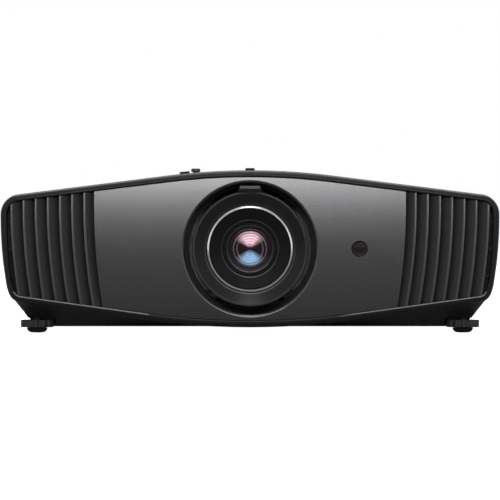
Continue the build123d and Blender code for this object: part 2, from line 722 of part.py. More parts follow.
# ---------------------------------------------------------------- light engine, boards and fans
with BuildPart() as light_engine:
    brick((-46, 46), (-14, 44), (38, 126))
    brick((44, 132), (8, 92), (52, 108))
    brick((56, 120), (20, 50), (deck, 52))
    brick((-40, 40), (0, 40), (deck, 38))
    brick((-28, 28), (4, 36), (deck, 36), mode=Mode.SUBTRACT)
    drum("Y", 30, (-15, 26), (0, lens_z), mode=Mode.SUBTRACT)
    drum("X", 14, (20, 140), (35, 80), mode=Mode.SUBTRACT)
    for x in (66, 82, 98, 114):  # stiffening ribs on the arm
        brick((x - 1.2, x + 1.2), (8, 92), (106, 113))
write(light_engine.part, "light_engine")

with BuildPart() as dmd_heatsink:
    brick((-54, -46), (-10, 40), (46, 118))
    for i in range(9):
        z = 50 + i * 8
        brick((-92, -52), (-10, 40), (z - 1, z + 1))
    brick((-92, -50), (12, 18), (46, 118))
    brick((-80, -70), (6, 24), (deck, 50))
write(dmd_heatsink.part, "dmd_heatsink")

with BuildPart() as main_board:
    brick((-184, 82), (100, 162), (34, 35.6))
    drum("Z", 5.6, (30, 38), column_spots[-1], mode=Mode.SUBTRACT)
    brick((-184, -104), (-40, 102), (34, 35.6))
    for x, y in ((-176, 92), (-112, -34), (-112, 150), (74, 108)):
        drum("Z", 3, (deck, 34), (x, y))
    for x, y, size, tall in ((-150, 40, 32, 3), (-150, 84, 24, 3), (-90, 126, 28, 3), (-30, 122, 20, 8)):
        brick((x - size / 2, x + size / 2), (y - size / 2, y + size / 2), (35.6, 35.6 + tall))
    for i in range(7):
        drum("Z", 3.2, (35.6, 46), (-176 + i * 11, -30))
write(main_board.part, "main_board")

with BuildPart() as power_board:
    brick((98, 176), (96, 160), (18, 19.6))
    for x, y in ((102, 100), (102, 156)):
        drum("Z", 3, (deck, 18), (x, y))
    brick((104, 132), (104, 130), (19.6, 42))
    brick((140, 172), (100, 112), (19.6, 48))
    for i in range(4):
        drum("Z", 6, (19.6, 44), (112 + i * 15, 139))
write(power_board.part, "power_board")

with BuildPart() as fan_frames:
    for x in (fan_x, -fan_x):
        brick((x - 40, x + 40), fan_y, (fan_z - 40, fan_z + 40))
        drum("Y", 37.6, (fan_y[0] - 1, fan_y[1] - 4), (x, fan_z), mode=Mode.SUBTRACT)
        drum("Y", 37.6, (fan_y[1] - 5, fan_y[1] + 1), (x, fan_z), mode=Mode.SUBTRACT)
        brick((x - 39, x + 39), (fan_y[1] - 2.4, fan_y[1]), (fan_z - 1.6, fan_z + 1.6))
        brick((x - 1.6, x + 1.6), (fan_y[1] - 2.4, fan_y[1]), (fan_z - 39, fan_z + 39))
        drum("Y", 16, (fan_y[1] - 2.4, fan_y[1]), (x, fan_z))
        brick((x - 8, x + 8), (-128, -120), (28, fan_z - 40))
write(fan_frames.part, "fan_frames")

for side, x in (("right", fan_x), ("left", -fan_x)):
    with BuildPart() as rotor:
        drum("Y", 16, (fan_y[0] + 2, fan_y[1] - 3), (x, fan_z))
        for i in range(7):
            with Locations(Location((x, (fan_y[0] + fan_y[1]) / 2 - 1.5, fan_z), (0, i * 360 / 7, 0))):
                with Locations(Location((26, 0, 0), (38, 0, 0))):
                    Box(21, 22, 1.6)
    write(rotor.part, f"fan_rotor_{side}")

# ---------------------------------------------------------------- rear connector bay
port_z = 45.0
hdmi_xs, jack_xs = (68, 42), (-104, -122, -140)
usb_x, lan_x, serial_x, inlet_x = 15, -18, -62, 132

with BuildPart() as rear_panel:
    brick((bay_x[0] - 3, bay_x[1] + 3), (164, 169.9), (bay_z[0] - 2.6, bay_z[1] + 2.6))
    recess_x, recess_z = (bay_x[0] - 0.5, bay_x[1] + 0.5), (bay_z[0] - 0.5, bay_z[1] + 0.5)
    brick(recess_x, (166, 171), recess_z, mode=Mode.SUBTRACT)
    cutouts = [(x, 7.8, 3.4) for x in hdmi_xs]
    cutouts += [(usb_x, 6.9, 3.2), (lan_x, 8.4, 7), (serial_x, 9.6, 5.2), (inlet_x, 14, 10.2)]
    for x, half_x, half_z in cutouts:
        brick((x - half_x, x + half_x), (160, 170), (port_z - half_z, port_z + half_z), mode=Mode.SUBTRACT)
    for x in jack_xs:
        drum("Y", 4.6, (160, 170), (x, port_z), mode=Mode.SUBTRACT)
write(rear_panel.part, "rear_panel")

with BuildPart() as av_sockets:
    for x, across, tall in [(x, 15.2, 6.4) for x in hdmi_xs] + [(usb_x, 13.4, 6.0)]:
        brick((x - across / 2, x + across / 2), (152, 168), (port_z - tall / 2, port_z + tall / 2))
        inner = (across / 2 - 0.6, tall / 2 - 0.6)
        mouth_x, mouth_z = (x - inner[0], x + inner[0]), (port_z - inner[1], port_z + inner[1])
        brick(mouth_x, (156, 169), mouth_z, mode=Mode.SUBTRACT)
        brick((mouth_x[0] + 1.5, mouth_x[1] - 1.5), (155, 166.6), (port_z - 0.9, port_z + 0.9))
write(av_sockets.part, "av_sockets")

with BuildPart() as lan_port:
    brick((lan_x - 8.2, lan_x + 8.2), (150, 167.4), (port_z - 6.8, port_z + 6.8))
    brick((lan_x - 5.9, lan_x + 5.9), (155, 168), (port_z - 3.6, port_z + 4.6), mode=Mode.SUBTRACT)
    brick((lan_x - 2, lan_x + 2), (155, 168), (port_z - 5.6, port_z - 3), mode=Mode.SUBTRACT)
write(lan_port.part, "lan_port")

with BuildPart() as serial_port:
    brick((serial_x - 15.5, serial_x + 15.5), (166, 167), (port_z - 6.3, port_z + 6.3))
    with BuildSketch(facing(172)):
        with Locations((serial_x, port_z)):
            Trapezoid(18.6, 9.4, 80)
    extrude(amount=18)
    for s in (1, -1):
        drum("Y", 2.6, (166, 172), (serial_x + s * 12.5, port_z))
write(serial_port.part, "serial_port")

with BuildPart() as jack_sockets:
    for x in jack_xs:
        drum("Y", 4.4, (151, 168), (x, port_z))
        drum("Y", 1.75, (153, 169), (x, port_z), mode=Mode.SUBTRACT)
write(jack_sockets.part, "jack_sockets")

with BuildPart() as ac_inlet:
    brick((inlet_x - 13.8, inlet_x + 13.8), (146, 167), (port_z - 10, port_z + 10))
    brick((inlet_x - 20, inlet_x + 20), (166, 168), (port_z - 11.5, port_z + 11.5))
    with BuildSketch(facing(169)):
        with Locations((inlet_x, port_z)):
            Rectangle(24.4, 16.2)
        chamfer([v for v in vertices() if v.Y > port_z], length=4.4)
    extrude(amount=17, mode=Mode.SUBTRACT)
    for x, z in ((-7, -1.5), (0, 2.5), (7, -1.5)):
        brick((inlet_x + x - 1, inlet_x + x + 1), (150, 165), (port_z + z - 2, port_z + z + 2))
write(ac_inlet.part, "ac_inlet")
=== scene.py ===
import json
import math

import bmesh
import bpy
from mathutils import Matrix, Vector
from mathutils.bvhtree import BVHTree


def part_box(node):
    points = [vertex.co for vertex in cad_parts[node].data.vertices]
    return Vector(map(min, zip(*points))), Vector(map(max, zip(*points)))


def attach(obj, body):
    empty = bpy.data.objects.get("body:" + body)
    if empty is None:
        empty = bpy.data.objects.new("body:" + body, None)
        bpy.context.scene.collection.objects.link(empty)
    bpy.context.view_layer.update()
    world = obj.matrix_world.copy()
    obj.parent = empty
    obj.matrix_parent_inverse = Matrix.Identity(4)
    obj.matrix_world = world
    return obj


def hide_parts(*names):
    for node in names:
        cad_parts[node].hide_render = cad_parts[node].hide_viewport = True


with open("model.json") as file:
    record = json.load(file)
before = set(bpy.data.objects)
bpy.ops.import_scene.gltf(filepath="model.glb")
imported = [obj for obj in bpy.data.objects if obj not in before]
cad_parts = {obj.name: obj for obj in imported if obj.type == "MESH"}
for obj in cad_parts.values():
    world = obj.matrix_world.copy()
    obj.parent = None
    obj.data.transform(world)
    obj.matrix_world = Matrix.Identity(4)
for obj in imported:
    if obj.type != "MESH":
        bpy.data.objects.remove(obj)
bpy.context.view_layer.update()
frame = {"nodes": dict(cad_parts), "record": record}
nodes = frame["nodes"]
record = frame["record"]
bodyOf = {node: body for body, members in record["behaviour"]["bodies"].items() for node in members}
slotOf = {part["node"]: part["material_slot"] for part in record["subparts"]}
mm = 0.001

# the lens axis comes from the front glass, and the depth of the front from the bezel
glassLow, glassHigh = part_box("front_lens")
lensX, lensZ = (glassLow.x + glassHigh.x) / 2, (glassLow.z + glassHigh.z) / 2
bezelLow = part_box("front_frame")[0]
print("frame loaded:", len(nodes), "nodes, lens axis at height", round(lensZ, 4))


# ---- shader building
class Wire:
    # wraps an output socket, so that shader maths reads as ordinary sums
    def __init__(self, finish, socket):
        self.finish = finish
        self.socket = socket

    def calc(self, operation, *values):
        return self.finish.add("Math", {"operation": operation}, dict(enumerate(values)))

    def sine(self):
        return self.calc("SINE", self)

    def size(self):
        return self.calc("ABSOLUTE", self)

    def __add__(self, other):
        return self.calc("ADD", self, other)

    def __radd__(self, other):
        return self.calc("ADD", other, self)

    def __sub__(self, other):
        return self.calc("SUBTRACT", self, other)

    def __rsub__(self, other):
        return self.calc("SUBTRACT", other, self)

    def __mul__(self, other):
        return self.calc("MULTIPLY", self, other)

    def __rmul__(self, other):
        return self.calc("MULTIPLY", other, self)

    def __truediv__(self, other):
        return self.calc("DIVIDE", self, other)

    def __pow__(self, other):
        return self.calc("POWER", self, other)


class Finish:
    # a material with its principled shader, and one method that adds any other node
    def __init__(self, name, colour, **constants):
        self.material = bpy.data.materials.new(name)
        self.material.use_nodes = True
        self.tree = self.material.node_tree
        self.shader = self.tree.nodes["Principled BSDF"]
        self.shader.inputs["Base Color"].default_value = (*colour, 1)
        for socket, value in constants.items():
            self.shader.inputs[socket.replace("_", " ")].default_value = value
        self.place = self.add("TexCoord", out="Object")

    def plug(self, socket, value):
        if isinstance(value, Wire):
            self.tree.links.new(value.socket, socket)
        elif isinstance(value, (tuple, list)) and socket.type == "RGBA":
            socket.default_value = (*value, 1)
        else:
            socket.default_value = value

    def add(self, kind, settings=None, sockets=None, out=0):
        node = self.tree.nodes.new("ShaderNode" + kind)
        for name, value in (settings or {}).items():
            setattr(node, name, value)
        for name, value in (sockets or {}).items():
            self.plug(node.inputs[name], value)
        return Wire(self, node.outputs[out])

    def noise(self, scale, detail=3.0, roughness=0.5):
        return self.add("TexNoise", None, {
            "Vector": self.place, "Scale": scale, "Detail": detail, "Roughness": roughness})

    def cells(self, scale):
        colour = self.add("TexVoronoi", None, {"Vector": self.place, "Scale": scale}, "Color")
        return self.add("SeparateColor", None, {0: colour})

    def mix(self, factor, first, second):
        return self.add("Mix", {"data_type": "RGBA"}, {0: factor, 6: first, 7: second}, 2)

    def remap(self, value, low, high, newLow=0.0, newHigh=1.0):
        return self.add("MapRange", None, {0: value, 1: low, 2: high, 3: newLow, 4: newHigh})

    def grain(self, height, distance, strength=1.0):
        bump = self.add("Bump", None, {"Height": height, "Distance": distance, "Strength": strength})
        self.feed(Normal=bump)

    def feed(self, **wires):
        for name, wire in wires.items():
            self.plug(self.shader.inputs[name.replace("_", " ")], wire)

    def axes(self):
        split = self.add("SeparateXYZ", None, {0: self.place}).socket.node
        return [Wire(self, output) for output in split.outputs]

    def aroundLens(self):
        # distance from the lens axis
        x, y, z = self.axes()
        return ((x - lensX) ** 2.0 + (z - lensZ) ** 2.0) ** 0.5


# ---- finishes
def mouldedPlastic(name, colour, roughness, grain=0.5, depth=0.03, spread=0.2, **constants):
    # spark-eroded plastic: a fine grain, faint clouds in the colour, slight wear in the gloss
    finish = Finish(name, colour, **constants)
    lighter = [channel * (1 + spread) for channel in colour]
    cloud = finish.noise(14, 4, 0.6)
    speck = finish.noise(1 / (grain * mm), 2, 0.55)
    finish.feed(Base_Color=finish.mix(finish.remap(cloud, 0.3, 0.7), colour, lighter))
    wear = finish.remap(cloud * 0.7 + speck * 0.3, 0.3, 0.7, roughness - 0.04, roughness + 0.05)
    finish.feed(Roughness=wear)
    finish.grain(speck, depth * mm)
    return finish.material


def flakePaint(name, colour, lighter, roughness, flake, **constants):
    # metallic lacquer: tiny flakes of slightly different brightness
    finish = Finish(name, colour, **constants)
    flakes = finish.cells(1 / (flake * mm))
    cloud = finish.noise(7, 3, 0.5)
    tone = finish.remap(flakes, 0, 1, 0.25, 0.55) + finish.remap(cloud, 0.35, 0.65, 0, 0.2)
    finish.feed(Base_Color=finish.mix(tone, colour, lighter))
    finish.feed(Roughness=finish.remap(cloud + flakes * 0.15, 0.35, 0.8, roughness - 0.005, roughness + 0.01))
    return finish.material


def turnedFinish(name, colour, roughness, ridge, depth, **constants):
    # turned on a lathe: hair-fine rings round the lens axis
    finish = Finish(name, colour, **constants)
    rings = (finish.aroundLens() * (math.tau / (ridge * mm))).sine()
    cloud = finish.noise(70, 3, 0.6)
    finish.feed(Roughness=finish.remap(cloud, 0.3, 0.7, roughness - 0.04, roughness + 0.05))
    finish.feed(Base_Color=finish.mix(finish.remap(cloud, 0.3, 0.7), [c * 0.85 for c in colour], colour))
    finish.grain(rings + cloud * 0.5, depth * mm)
    return finish.material


def plainMetal(name, colour, roughness, scratch):
    finish = Finish(name, colour, Metallic=1.0)
    cloud = finish.noise(45, 5, 0.65)
    fine = finish.noise(scratch, 3, 0.7)
    finish.feed(Roughness=finish.remap(cloud + fine, 0.6, 1.4, roughness - 0.08, roughness + 0.1))
    finish.feed(Base_Color=finish.mix(finish.remap(cloud, 0.35, 0.65), [c * 0.8 for c in colour], colour))
    finish.grain(fine, 0.02 * mm)
    return finish.material


def padRubber(name, colour):
    finish = Finish(name, colour, Specular_IOR_Level=0.35)
    speck = finish.noise(1500, 3, 0.7)
    finish.feed(Roughness=finish.remap(speck, 0.3, 0.7, 0.62, 0.8))
    finish.feed(Base_Color=finish.mix(speck, colour, [c * 1.6 for c in colour]))
    finish.grain(speck, 0.05 * mm)
    return finish.material


def circuitBoard(name, lacquer, track):
    # green lacquer with lighter copper tracks under it
    finish = Finish(name, lacquer, Roughness=0.35)
    x, y, z = finish.axes()
    wander = finish.noise(40, 0) * 6.0
    lines = (x * 900.0 + wander).sine() * (y * 700.0 + wander).sine()
    mask = finish.remap(lines, 0.3, 0.4)
    finish.feed(Base_Color=finish.mix(mask, lacquer, track))
    finish.grain(mask, 0.03 * mm)
    return finish.material


def louvrePaint(name, colour, noseColour, noseY, bow, roughness):
    # dark slopes with noses lacquered like the fascia, shaded as if bowed from top to bottom like it
    finish = Finish(name, colour)
    x, y, z = finish.axes()
    nose = finish.remap(y, noseY + 0.9 * mm, noseY + 0.5 * mm)
    flakes = finish.cells(1 / (0.3 * mm))
    finish.feed(Base_Color=finish.mix(nose, colour, noseColour), Metallic=nose * 0.9)
    finish.feed(Roughness=finish.remap(nose, 0, 1, roughness, 0.30) + flakes * 0.03)
    finish.grain((z - lensZ) ** 2.0 * (-0.5 / bow) + flakes * (0.002 * mm), 1.0)
    return finish.material


def streakedGlass(name, dark, upper, lower, ringPitch, steepness, **constants):
    # coated elements: a tinted fan above the middle and another below it, where light from above would draw
    # them, are painted reflections in the colour
    finish = Finish(name, dark, Metallic=1.0, Roughness=0.30, **constants)
    x, y, z = finish.axes()
    reach = finish.aroundLens()
    # the colour of the painted reflections: pink above the lens axis, blue below it
    reflectionTint = finish.mix(finish.remap(z, lensZ - 2 * mm, lensZ + 2 * mm), lower, upper)
    aside = (x - lensX).size() / reach
    # the fan-shaped mask of the painted reflections, near the upright line through the axis
    paintedFanBand = finish.remap(reach, 1.0 * mm, 6 * mm) * finish.remap(reach, 18 * mm, 13 * mm)
    paintedFanBand = paintedFanBand * finish.remap(aside, 0.9, 0.55)
    paintedFans = finish.mix(paintedFanBand, dark, reflectionTint)
    # the edges of the elements further in show as two thin rings
    rings = finish.remap((reach - 16.5 * mm).size(), 0.7 * mm, 0.2 * mm)
    inner = finish.remap((reach - 13.0 * mm).size(), 0.7 * mm, 0.2 * mm)
    finish.feed(Base_Color=finish.mix((rings + inner) * 0.55, paintedFans, (0.35, 0.33, 0.34)))
    lean = (reach * (math.tau / (ringPitch * mm))).sine() * steepness / reach
    outward = finish.add("CombineXYZ", None, {0: lean * (x - lensX) * 1.3, 1: -1.0, 2: lean * (z - lensZ)})
    finish.feed(Normal=finish.add("VectorMath", {"operation": "NORMALIZE"}, {0: outward}))
    return finish.material


def coatedGlass(name, centre, edge, reach, **constants):
    # multi-coated optical glass: the coating's colour drifts from the middle to the edge
    finish = Finish(name, centre, Metallic=1.0, **constants)
    drift = finish.remap(finish.aroundLens(), 0.0, reach)
    finish.feed(Base_Color=finish.mix(drift, centre, edge))
    finish.feed(Roughness=finish.remap(finish.noise(120, 2), 0.3, 0.7, 0.05, 0.09))
    return finish.material


finishes = {
    "case_plastic": mouldedPlastic("caseGrey", (0.027, 0.027, 0.0275), 0.36),
    "bezel_plastic": mouldedPlastic("bezelGrey", (0.0165, 0.0165, 0.0168), 0.34, 0.4, 0.008,
                                    Specular_IOR_Level=0.18),
    "fascia_paint": flakePaint("fasciaGrey", (0.098, 0.098, 0.100), (0.128, 0.128, 0.131), 0.265, 0.3,
                               Metallic=0.95),
    "louvre_plastic": louvrePaint("louvreGrey", (0.0205, 0.0205, 0.0207), (0.115, 0.115, 0.116),
                                  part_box("louvre_left")[0].y, 0.8, 0.55),
    "inner_black": mouldedPlastic("innerBlack", (0.004, 0.004, 0.004), 0.5),
    "ring_black": mouldedPlastic("ringBlack", (0.013, 0.013, 0.0135), 0.34, 0.35, 0.012),
    "lens_black": turnedFinish("lensBlack", (0.004, 0.004, 0.0042), 0.50, 0.6, 0.002,
                               Specular_IOR_Level=0.14),
    "trim_silver": turnedFinish("trimSilver", (0.93, 0.93, 0.94), 0.20, 0.2, 0.0006, Metallic=0.9),
    "coated_glass": coatedGlass("glassBlue", (0.18, 0.42, 0.62), (0.08, 0.22, 0.30), 0.022),
    "window_smoke": mouldedPlastic("windowSmoke", (0.012, 0.008, 0.010), 0.12, 0.5, 0.002, Coat_Weight=0.6),
    "key_plastic": mouldedPlastic("keyGrey", (0.035, 0.035, 0.036), 0.34, 0.35, 0.02),
    "rubber_black": padRubber("padRubber", (0.011, 0.011, 0.011)),
    "foot_plastic": mouldedPlastic("footGrey", (0.022, 0.022, 0.023), 0.38, 0.5, 0.04),
    "steel": plainMetal("zincSteel", (0.55, 0.55, 0.57), 0.34, 700),
    "brass": plainMetal("turnedBrass", (0.66, 0.47, 0.20), 0.30, 900),
    "cast_alloy": plainMetal("castAlloy", (0.50, 0.50, 0.51), 0.52, 420),
    "fin_alloy": plainMetal("finAlloy", (0.66, 0.66, 0.68), 0.36, 800),
    "board_green": circuitBoard("boardGreen", (0.004, 0.05, 0.02), (0.03, 0.16, 0.06)),
    "lamp_housing": mouldedPlastic("lampBeige", (0.42, 0.40, 0.35), 0.50),
    "reflector_glass": coatedGlass("reflectorGlass", (0.55, 0.60, 0.64), (0.35, 0.42, 0.50), 0.2),
    "wheel_glass": coatedGlass("wheelGlass", (0.40, 0.42, 0.50), (0.60, 0.30, 0.25), 0.2),
    "socket_metal": plainMetal("nickelShell", (0.62, 0.61, 0.59), 0.28, 900),
    "panel_plastic": mouldedPlastic("panelGrey", (0.018, 0.018, 0.019), 0.44),
}
# front glass whose colour carries painted reflections of the light in two fans
glassPaintedFans = streakedGlass("glassPaintedFans", (0.03, 0.022, 0.025), (0.84, 0.50, 0.59), (0.26, 0.46, 0.72),
                          2.7, 0.13, Alpha=0.85)
deepViolet = coatedGlass("deepViolet", (0.10, 0.07, 0.08), (0.05, 0.04, 0.05), 0.012)
rimGrey = mouldedPlastic("rimGrey", (0.022, 0.022, 0.023), 0.30, 0.4, 0.005)
leverGrey = mouldedPlastic("leverGrey", (0.10, 0.10, 0.102), 0.42, 0.4, 0.03)
contactGold = plainMetal("contactGold", (0.83, 0.62, 0.28), 0.24, 1500)
# a pale grey for the painted highlight on the frame's lower inner edge
lipHighlightGrey = mouldedPlastic("lipHighlightGrey", (0.20, 0.20, 0.20), 0.4, 0.3, 0.0)
# the darkest black, for the lever's arm and the neck block that stands in for the shadow under the lever:
# painted shade
neckShadeBlack = mouldedPlastic("neckShadeBlack", (0.004, 0.004, 0.004), 0.5, 0.3, 0.01, Specular_IOR_Level=0.15)
jackGreen = mouldedPlastic("jackGreen", (0.10, 0.42, 0.08), 0.4)
jackBlue = mouldedPlastic("jackBlue", (0.04, 0.22, 0.55), 0.4)
jackRose = mouldedPlastic("jackRose", (0.62, 0.16, 0.24), 0.4)
serialBlue = mouldedPlastic("serialBlue", (0.02, 0.07, 0.20), 0.42)
lampRed = mouldedPlastic("lampRed", (0.25, 0.02, 0.01), 0.2, 0.5, 0.0, Coat_Weight=0.5)
for node, thing in nodes.items():
    thing.data.materials.clear()
    thing.data.materials.append(finishes[slotOf[node]])
print("finishes made:", len(bpy.data.materials))


# ---- modelling tools
def deselectAll():
    if bpy.context.object and bpy.context.object.mode == "EDIT":
        bpy.ops.object.mode_set(mode="OBJECT")
    bpy.ops.object.select_all(action="DESELECT")


def activate(piece):
    deselectAll()
    piece.select_set(True)
    bpy.context.view_layer.objects.active = piece


def startFrom(primitive, name, **options):
    # a primitive at its size and place, with its place moved into the mesh
    deselectAll()
    getattr(bpy.ops.mesh, "primitive_" + primitive + "_add")(**options)
    piece = bpy.context.object
    piece.name = piece.data.name = name
    bpy.ops.object.transform_apply(location=True, rotation=True, scale=True)
    return piece


def block(name, low, high):
    # a box between two corners, the start of most small mouldings
    low, high = Vector(low), Vector(high)
    piece = startFrom("cube", name, size=1, location=(low + high) / 2, scale=high - low)
    return piece


def pick(piece, mode, test):
    # edit mode, with only the chosen elements selected
    activate(piece)
    bpy.ops.object.mode_set(mode="EDIT")
    kinds = {"verts": (True, False, False), "edges": (False, True, False), "faces": (False, False, True)}
    bpy.context.tool_settings.mesh_select_mode = kinds[mode]
    bpy.ops.mesh.select_all(action="DESELECT")
    mesh = bmesh.from_edit_mesh(piece.data)
    for element in getattr(mesh, mode):
        element.select_set(bool(test(element)))
    bmesh.update_edit_mesh(piece.data)


def applyModifier(piece, kind, **settings):
    activate(piece)
    modifier = piece.modifiers.new(kind.lower(), kind)
    for name, value in settings.items():
        setattr(modifier, name, value)
    bpy.ops.object.modifier_apply(modifier=modifier.name)


def soften(piece, width, segments=2, angle=32):
    # rounds every sharp edge, then lets the large faces rule the shading
    activate(piece)
    bpy.ops.object.shade_smooth_by_angle(angle=math.radians(angle))
    if width:
        applyModifier(piece, "BEVEL", width=width, segments=segments, limit_method="ANGLE",
                      angle_limit=math.radians(angle), miter_outer="MITER_ARC", use_clamp_overlap=True)
        bpy.ops.object.shade_smooth_by_angle(angle=math.radians(angle + 14))
    applyModifier(piece, "WEIGHTED_NORMAL", weight=80, keep_sharp=True)


def join(first, *others):
    activate(first)
    for other in others:
        other.select_set(True)
    bpy.ops.object.join()
    return first


def fixNormals(piece):
    pick(piece, "faces", lambda f: True)
    bpy.ops.mesh.normals_make_consistent(inside=False)
    bpy.ops.object.mode_set(mode="OBJECT")


def copyOf(piece, name):
    activate(piece)
    bpy.ops.object.duplicate(linked=False)
    twin = bpy.context.object
    twin.name = twin.data.name = name
    for key in [key for key in twin.keys() if key.startswith("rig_")]:
        del twin[key]
    return twin


def place(piece, body, slot, material=None, replaces=()):
    # hands a finished piece to the frame
    piece.data.materials.clear()
    piece.data.materials.append(material or finishes[slot])
    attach(piece, body)
    if replaces:
        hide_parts(*replaces)
    return piece


def carryOver(node, width, angle=32, segments=2, flat=0.4, detail=None):
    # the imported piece's own shape, merged into one skin, with its edges rounded
    piece = copyOf(nodes[node], node + "_skin")
    piece.parent = None
    pick(piece, "verts", lambda v: True)
    bpy.ops.mesh.remove_doubles(threshold=0.004 * mm)
    bpy.ops.mesh.dissolve_limited(angle_limit=math.radians(flat))
    bpy.ops.object.mode_set(mode="OBJECT")
    if detail:
        detail(piece)
    soften(piece, width, segments, angle)
    return place(piece, bodyOf[node], slotOf[node], replaces=[node])


def surfaceAt(node, x, y):
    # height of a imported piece's top at one place
    mesh = nodes[node].data
    tree = BVHTree.FromPolygons([v.co for v in mesh.vertices], [f.vertices for f in mesh.polygons])
    return tree.ray_cast(Vector((x, y, 1)), Vector((0, 0, -1)))[0].z


def turnOnLathe(name, profile, segments=144, closed=True, axis="Y", centre=None):
    # a turned piece: one loop of the first (along, radius) point is extruded and scaled to the others
    centre = centre or (lensX, 0, lensZ)
    across = Vector((0, 1, 0)) if axis == "Y" else Vector((0, 0, 1))
    spot = Vector(centre)
    keep = 1 if axis == "Y" else 2
    spot[keep] = 0
    start = spot + across * profile[0][0]
    turn = (math.pi / 2, 0, 0) if axis == "Y" else (0, 0, 0)
    piece = startFrom("circle", name, vertices=segments, radius=profile[0][1], location=start, rotation=turn)
    bpy.ops.object.mode_set(mode="EDIT")
    bpy.context.tool_settings.mesh_select_mode = (False, True, False)
    bpy.ops.mesh.select_all(action="SELECT")
    for (along, radius), (nextAlong, nextRadius) in zip(profile, profile[1:]):
        bpy.ops.mesh.extrude_edges_move(TRANSFORM_OT_translate={"value": across * (nextAlong - along)})
        grow = max(nextRadius, 1e-6) / radius
        value = (grow, 1, grow) if axis == "Y" else (grow, grow, 1)
        bpy.ops.transform.resize(value=value, center_override=spot + across * nextAlong)
        if nextRadius == 0:
            bpy.ops.mesh.merge(type="CENTER")
    bpy.ops.object.mode_set(mode="OBJECT")
    if closed:
        pick(piece, "edges", lambda e: e.is_boundary)
        bpy.ops.mesh.bridge_edge_loops()
    fixNormals(piece)
    return piece


def closeEnd(piece):
    # fills the open rim of a turned piece
    pick(piece, "edges", lambda e: e.is_boundary)
    bpy.ops.mesh.edge_face_add()
    fixNormals(piece)


def hollowEnd(piece, wall, depth):
    # sinks a socket into a piece's rearward end
    pick(piece, "faces", lambda f: f.normal.y > 0.9)
    bpy.ops.mesh.inset(thickness=wall, depth=0)
    bpy.ops.mesh.inset(thickness=0.05 * mm, depth=-depth)
    bpy.ops.object.mode_set(mode="OBJECT")


def arcPoints(radius, bulge, start, steps):
    # (along, radius) points of a dome's section from its rim to its middle
    ball = (radius ** 2 + bulge ** 2) / (2 * bulge)
    points = []
    for i in range(steps + 1):
        r = radius * math.cos(i / steps * math.pi / 2)
        r = 0 if i == steps else r
        height = math.sqrt(ball ** 2 - r ** 2) - (ball - bulge)
        points.append((start - height, r))
    return points


# ---- stage, lights and camera
stage = {"floorReach": 12.0, "distance": 3.0, "frameWidth": 0.493, "sensor": 36.0, "cameraLift": -0.0012}


def makeStage():
    # a wide paper floor; it is paler to the camera than to the object, as a flagged floor is
    deselectAll()
    floor = startFrom("plane", "studioFloor", size=stage["floorReach"] * 2)
    paper = Finish("studioPaper", (0.85, 0.85, 0.85), Roughness=0.9, Specular_IOR_Level=0.1)
    mottle = paper.noise(3, 2)
    paper.feed(Roughness=paper.remap(mottle, 0.3, 0.7, 0.85, 0.95))
    # the paper ahead of the case is flagged darker than the paper under and behind it
    behind = paper.add("BsdfDiffuse", None, {"Color": (0.42, 0.42, 0.43)})
    ahead = paper.add("BsdfDiffuse", None, {"Color": (0.26, 0.26, 0.262)})
    shade = paper.add("MixShader", None, {0: paper.remap(paper.axes()[1], -0.22, -0.13), 1: ahead, 2: behind})
    glow = paper.add("Emission", None, {"Color": (1, 1, 1), "Strength": 1.0})
    lit = paper.add("AddShader", None, {0: Wire(paper, paper.shader.outputs[0]), 1: glow})
    seen = paper.add("LightPath", out="Is Camera Ray")
    mixed = paper.add("MixShader", None, {0: seen, 1: shade, 2: lit})
    paper.plug(paper.tree.nodes["Material Output"].inputs["Surface"], mixed)
    floor.data.materials.append(paper.material)


def softBox(name, spot, target, width, height, power):
    light = bpy.data.lights.new(name, "AREA")
    light.shape = "RECTANGLE"
    light.size, light.size_y = width, height
    light.energy = power
    box = bpy.data.objects.new(name, light)
    box.location = spot
    box.rotation_euler = (Vector(target) - Vector(spot)).to_track_quat("-Z", "Y").to_euler()
    box.visible_camera = False
    bpy.context.scene.collection.objects.link(box)


def makeLights():
    softBox("keyBox", (0, -1.75, 0.60), (0, -0.17, 0.1), 0.95, 0.32, 9)
    softBox("overheadBox", (0, -0.25, 1.55), (0, 0, 0.1), 0.5, 1.0, 5)
    softBox("leftStrip", (-1.35, -1.25, 0.45), (0, -0.1, 0.1), 0.35, 0.9, 1.2)
    softBox("rightStrip", (1.35, -1.25, 0.45), (0, -0.1, 0.1), 0.35, 0.9, 1.2)
    softBox("hairBox", (0, -1.25, 1.30), (0, -0.17, 0.1), 0.5, 0.3, 1.0)
    softBox("rearBox", (0, 1.3, 1.5), (0, 0.17, 0.1), 1.6, 0.6, 12)
    world = bpy.data.worlds.new("studioWorld")
    bpy.context.scene.world = world
    world.use_nodes = True
    tree = world.node_tree
    backdrop = tree.nodes["Background"]
    backdrop.inputs["Color"].default_value = (1, 1, 1, 1)
    room = tree.nodes.new("ShaderNodeBackground")
    room.inputs["Color"].default_value = (0.93, 0.96, 1, 1)
    # a pale canopy over and beside the stage, dark ahead and behind
    ahead = tree.nodes.new("ShaderNodeSeparateXYZ")
    tree.links.new(tree.nodes.new("ShaderNodeTexCoord").outputs["Generated"], ahead.inputs[0])
    size = tree.nodes.new("ShaderNodeMath")
    size.operation = "ABSOLUTE"
    tree.links.new(ahead.outputs["Y"], size.inputs[0])
    canopy = tree.nodes.new("ShaderNodeMapRange")
    for socket, value in enumerate((0.92, 0.74, 0.07, 0.48), start=1):
        canopy.inputs[socket].default_value = value
    tree.links.new(size.outputs[0], canopy.inputs[0])
    tree.links.new(canopy.outputs[0], room.inputs["Strength"])
    seen = tree.nodes.new("ShaderNodeLightPath")
    mixed = tree.nodes.new("ShaderNodeMixShader")
    tree.links.new(seen.outputs["Is Camera Ray"], mixed.inputs[0])
    tree.links.new(room.outputs[0], mixed.inputs[1])
    tree.links.new(backdrop.outputs[0], mixed.inputs[2])
    tree.links.new(mixed.outputs[0], tree.nodes["World Output"].inputs["Surface"])


